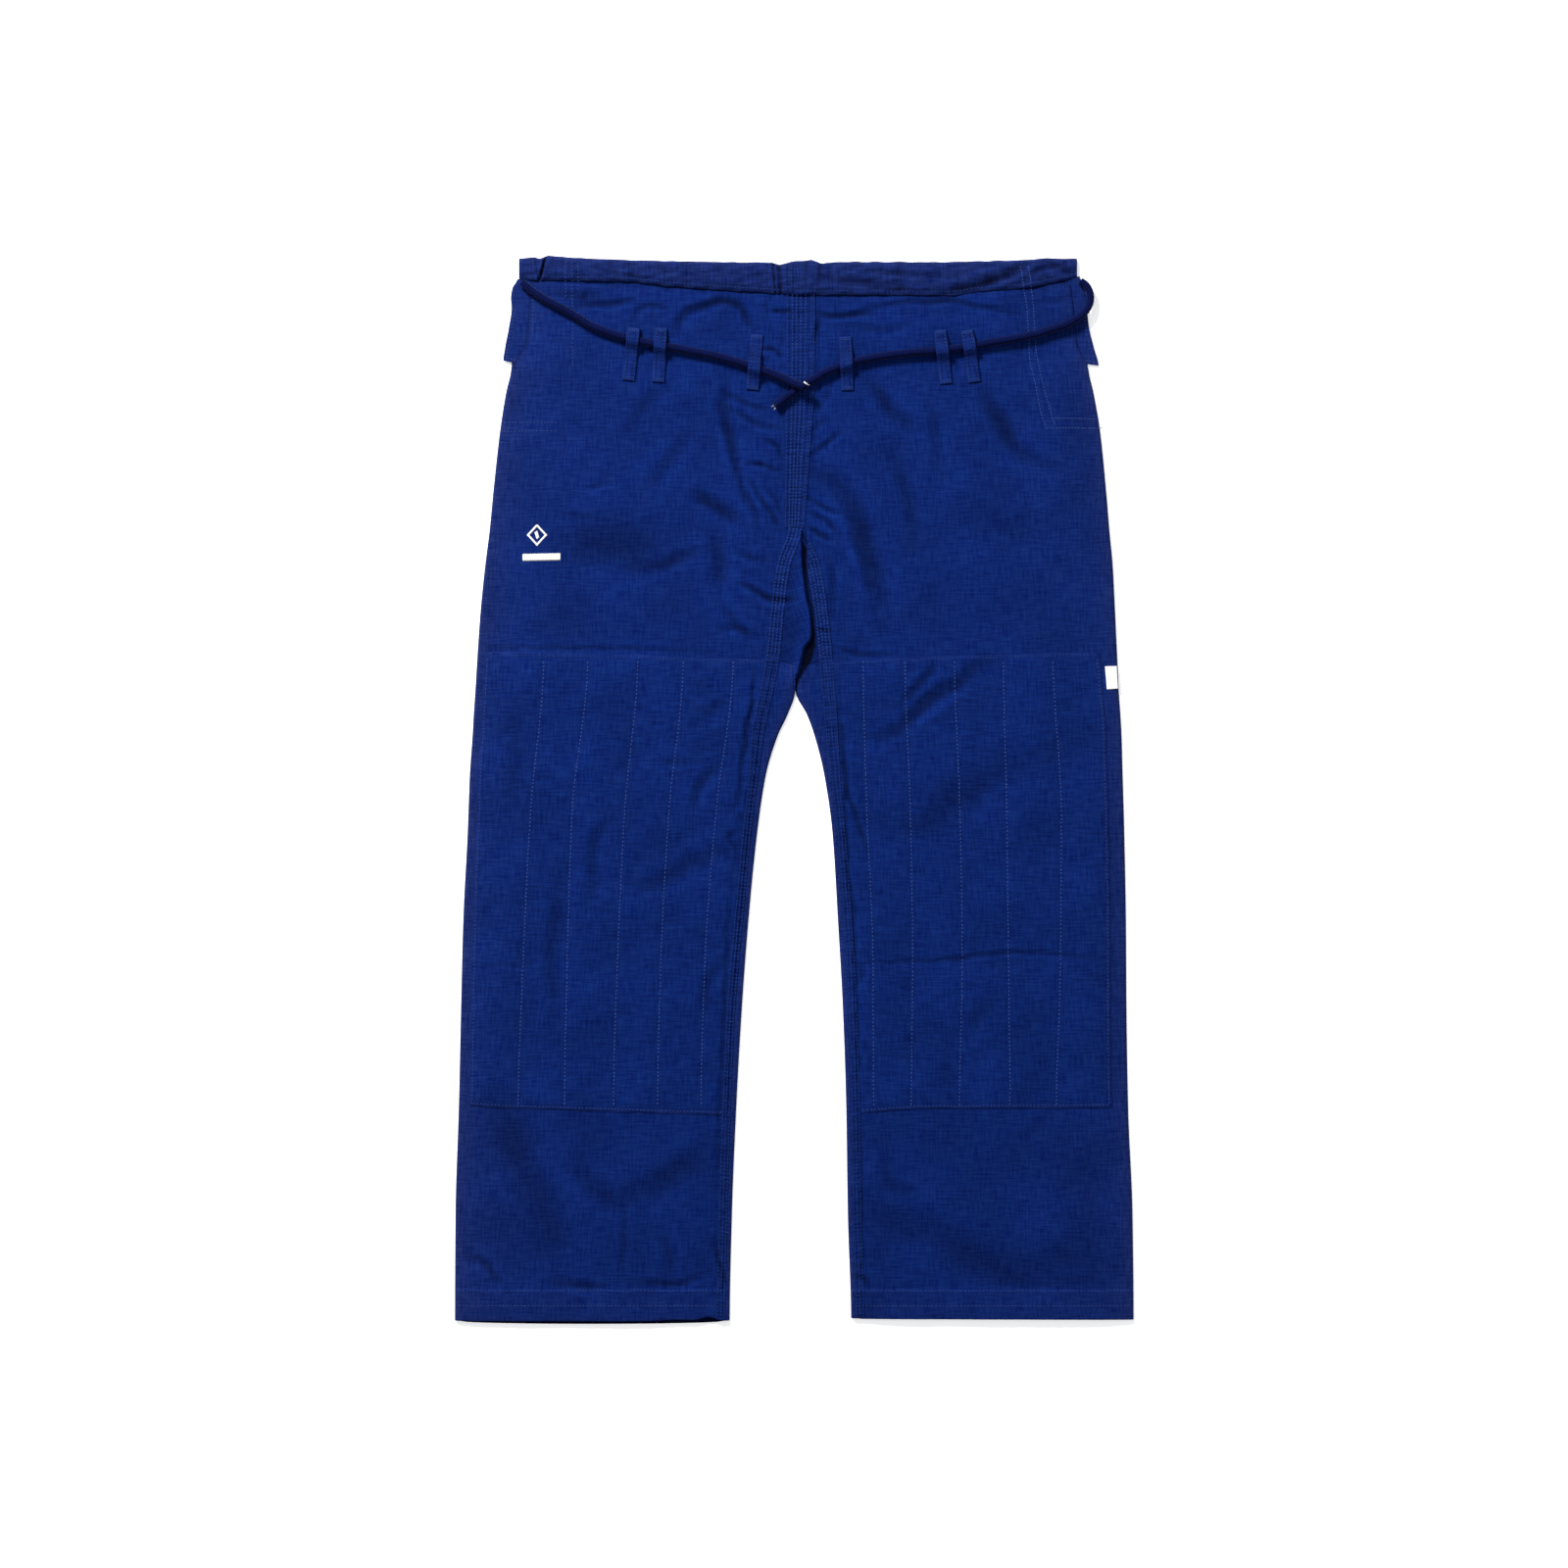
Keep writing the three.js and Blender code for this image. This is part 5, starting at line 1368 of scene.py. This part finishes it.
def lozenge(half_x, half_y):
    x, y = -233.6, 231.4
    return [(x - half_x, y), (x, y + half_y), (x + half_x, y), (x, y - half_y)]


SATIN_PITCH = 0.62
outer, inner = lozenge(9.6, 10.4), lozenge(6.6, 7.2)
BAR = [(-246.5, 207), (-246.5, 214.6), (-212.5, 215.4), (-212.5, 207.8)]
# shape, then how its rows and its stitches lean: the lozenge's four sides, its middle and the bar under it
mark_shapes = []
for k in range(4):
    following = (k + 1) % 4
    lean = math.pi / 4 if k % 2 else -math.pi / 4
    mark_shapes.append(([outer[k], outer[following], inner[following], inner[k]], lean, lean))
mark_shapes += [(lozenge(3.6, 4), 0, -math.pi / 4), (BAR, math.pi / 2, math.pi / 2)]

satin_rows = []
for shape, row_lean, lean in mark_shapes:
    way = np.array([math.cos(lean), math.sin(lean)])
    for x, y, length in satin(shape, SATIN_PITCH, row_lean):
        half = way * (length / 2)
        satin_rows.append(([(x, y) - half, (x, y) + half], length, length, 0.85, 0.7, 0))
add_stitches("mark", satin_rows, 0.1)


# ---- Materials ----
def add_node(tree, kind, inputs=(), **settings):
    node = tree.nodes.new(kind)
    for key, value in settings.items():
        setattr(node, key, value)
    for key, value in dict(inputs).items():
        if isinstance(value, bpy.types.NodeSocket):
            tree.links.new(value, node.inputs[key])
        else:
            node.inputs[key].default_value = value
    return node


def new_material(name, colour, roughness, specular, sheen=0.0):
    material = bpy.data.materials.new(name)
    material.use_nodes = True
    shader = material.node_tree.nodes["Principled BSDF"]
    shader.inputs["Base Color"].default_value = (*colour, 1)
    shader.inputs["Roughness"].default_value = roughness
    shader.inputs["Specular IOR Level"].default_value = specular
    shader.inputs["Sheen Weight"].default_value = sheen
    shader.inputs["Sheen Roughness"].default_value = 0.55
    shader.inputs["Sheen Tint"].default_value = (1, 1, 1, 1)
    return material, material.node_tree, shader


def cloth_grain(tree):
    return add_node(tree, "ShaderNodeUVMap", uv_map="grain").outputs[0]


def threads(tree, grain, across, along, detail):
    """Noise drawn out along the threads, across and along in metres."""
    scaled = add_node(tree, "ShaderNodeMapping", {"Vector": grain, "Scale": (1 / across, 1 / along, 1)})
    return add_node(tree, "ShaderNodeTexNoise", {"Vector": scaled.outputs[0], "Scale": 1.0, "Detail": detail,
                                                 "Roughness": 0.6}).outputs["Fac"]


def ranged(tree, value, low, high, to_low=0.0, to_high=1.0):
    """A value between low and high, moved to the range between the other two."""
    return add_node(tree, "ShaderNodeMapRange", {"Value": value, "From Min": low, "From Max": high,
                                                 "To Min": to_low, "To Max": to_high}).outputs[0]


def product(tree, a, b):
    return add_node(tree, "ShaderNodeMath", {0: a, 1: b}, operation="MULTIPLY").outputs[0]


def blend(tree, share, a, b):
    """A colour between two others."""
    return add_node(tree, "ShaderNodeMix", {"Factor": share, 6: (*a, 1), 7: (*b, 1)}, data_type="RGBA").outputs[2]


def add_bump(tree, shader, height, strength, distance):
    bump = add_node(tree, "ShaderNodeBump", {"Height": height, "Strength": strength, "Distance": distance})
    tree.links.new(bump.outputs[0], shader.inputs["Normal"])


def woven(name, colour, worn_colour, worn_most, mottle, ribbed):
    """Cloth that is mottled along its threads, with painted shade in its creases and painted highlight on their
    rises, and pale where it is worn, where sheen is painted on rolled edges and where highlight is painted on a
    cord's strand crests.
    """
    material, tree, shader = new_material(name, colour, 0.94, 0.05)
    grain = cloth_grain(tree)
    warp = threads(tree, grain, 0.0017, 0.017, 2)
    weft = threads(tree, grain, 0.017, 0.0017, 2)
    cloudy = threads(tree, grain, 0.05, 0.07, 3)
    both = add_node(tree, "ShaderNodeMath", {0: warp, 1: weft}, operation="ADD").outputs[0]
    shade = ranged(tree, both, 0.65, 1.35)
    total = ranged(tree, cloudy, 0.3, 0.7, 0.97, 1.03)
    if ribbed:
        rib = ranged(tree, threads(tree, grain, 0.02, 0.0016, 1), 0.3, 0.7, 1 - ribbed, 1 + ribbed)
        total = product(tree, total, rib)
    # the fold tone paints shade in creases, hollows and gaps, and highlight on rises
    fold = add_node(tree, "ShaderNodeAttribute", attribute_name="fold").outputs["Fac"]
    total = product(tree, total, ranged(tree, fold, -4.6, 1.6, 0.08, 1.32))
    # the pale colour comes in with wear, painted sheen on rolled cloth edges and painted highlight on cord strands
    worn = add_node(tree, "ShaderNodeAttribute", attribute_name="worn").outputs["Fac"]
    mixed = blend(tree, product(tree, worn, worn_most), colour, worn_colour)
    weave = blend(tree, shade, [1 - m for m in mottle], [1 + m for m in mottle])
    threaded = add_node(tree, "ShaderNodeVectorMath", {0: mixed, 1: weave}, operation="MULTIPLY")
    shaded = add_node(tree, "ShaderNodeVectorMath", {0: threaded.outputs[0], "Scale": total}, operation="SCALE")
    tree.links.new(shaded.outputs[0], shader.inputs["Base Color"])
    add_bump(tree, shader, both, 0.35, 0.0004)
    return material


DRILL = (0.0017, 0.0114, 0.092)
PATCH = (0.0017, 0.0116, 0.0925)
# the pale colour below is for wear and for the painted sheen on rolled edges
WEAR_AND_SHEEN = (0.0105, 0.018, 0.089)
MOTTLE = (1.0, 0.6, 0.27)
drill = woven("drill", DRILL, WEAR_AND_SHEEN, 0.8, MOTTLE, ribbed=0.05)
patch_drill = woven("patch_drill", PATCH, WEAR_AND_SHEEN, 0.7, MOTTLE, ribbed=0.12)
# the braid is painted lighter on the crests of its strands through its second colour, as painted highlight
braid = woven("braid", (0.0004, 0.0015, 0.0165), (0.0018, 0.005, 0.05), 1.0, (0.3, 0.3, 0.3), ribbed=0)
braid_shader = braid.node_tree.nodes["Principled BSDF"]
braid_shader.inputs["Sheen Weight"].default_value = 0.16
braid_shader.inputs["Sheen Roughness"].default_value = 0.3
braid_shader.inputs["Sheen Tint"].default_value = (0.8, 0.86, 1, 1)
thread, _, _ = new_material("thread", (0.02, 0.042, 0.175), roughness=0.8, specular=0.1)
seam_thread, _, _ = new_material("seam_thread", (0.0095, 0.029, 0.142), roughness=0.85, specular=0.05)
white_cloth, tree, shader = new_material("white_cloth", (0.8, 0.79, 0.76), roughness=0.85, specular=0.2)
add_bump(tree, shader, threads(tree, cloth_grain(tree), 0.004, 0.0006, 1), 0.3, 0.0003)
white_thread, _, _ = new_material("white_thread", (0.78, 0.77, 0.75), roughness=0.6, specular=0.3, sheen=0.1)

for name, made in pieces.items():
    if name in ("stitches_seams", "stitches_loops", "stitches_patch_tops"):
        material = seam_thread
    elif name.startswith("stitches"):
        material = thread
    elif name in ("mark", "cord_core_left") or name.startswith("cord_fray"):
        material = white_thread
    elif name == "tab":
        material = white_cloth
    elif name.startswith("cord"):
        material = braid
    elif name.startswith("knee"):
        material = patch_drill
    else:
        material = drill
    made.data.materials.append(material)

# ---- Cord lengths ----
for side in SIDES:
    line = cord_lines[side] * MM
    length = float(np.linalg.norm(np.diff(line, axis=0), axis=1).sum())

# ---- Floor ----
bpy.ops.mesh.primitive_plane_add(size=30, location=(0, 0, -0.0004))
floor = bpy.context.object
floor.name = "floor"
floor_material, _, shader = new_material("floor", (0.93, 0.93, 0.93), roughness=0.9, specular=0.1)
shader.inputs["Emission Color"].default_value = (1, 1, 1, 1)
shader.inputs["Emission Strength"].default_value = 0.45
floor.data.materials.append(floor_material)
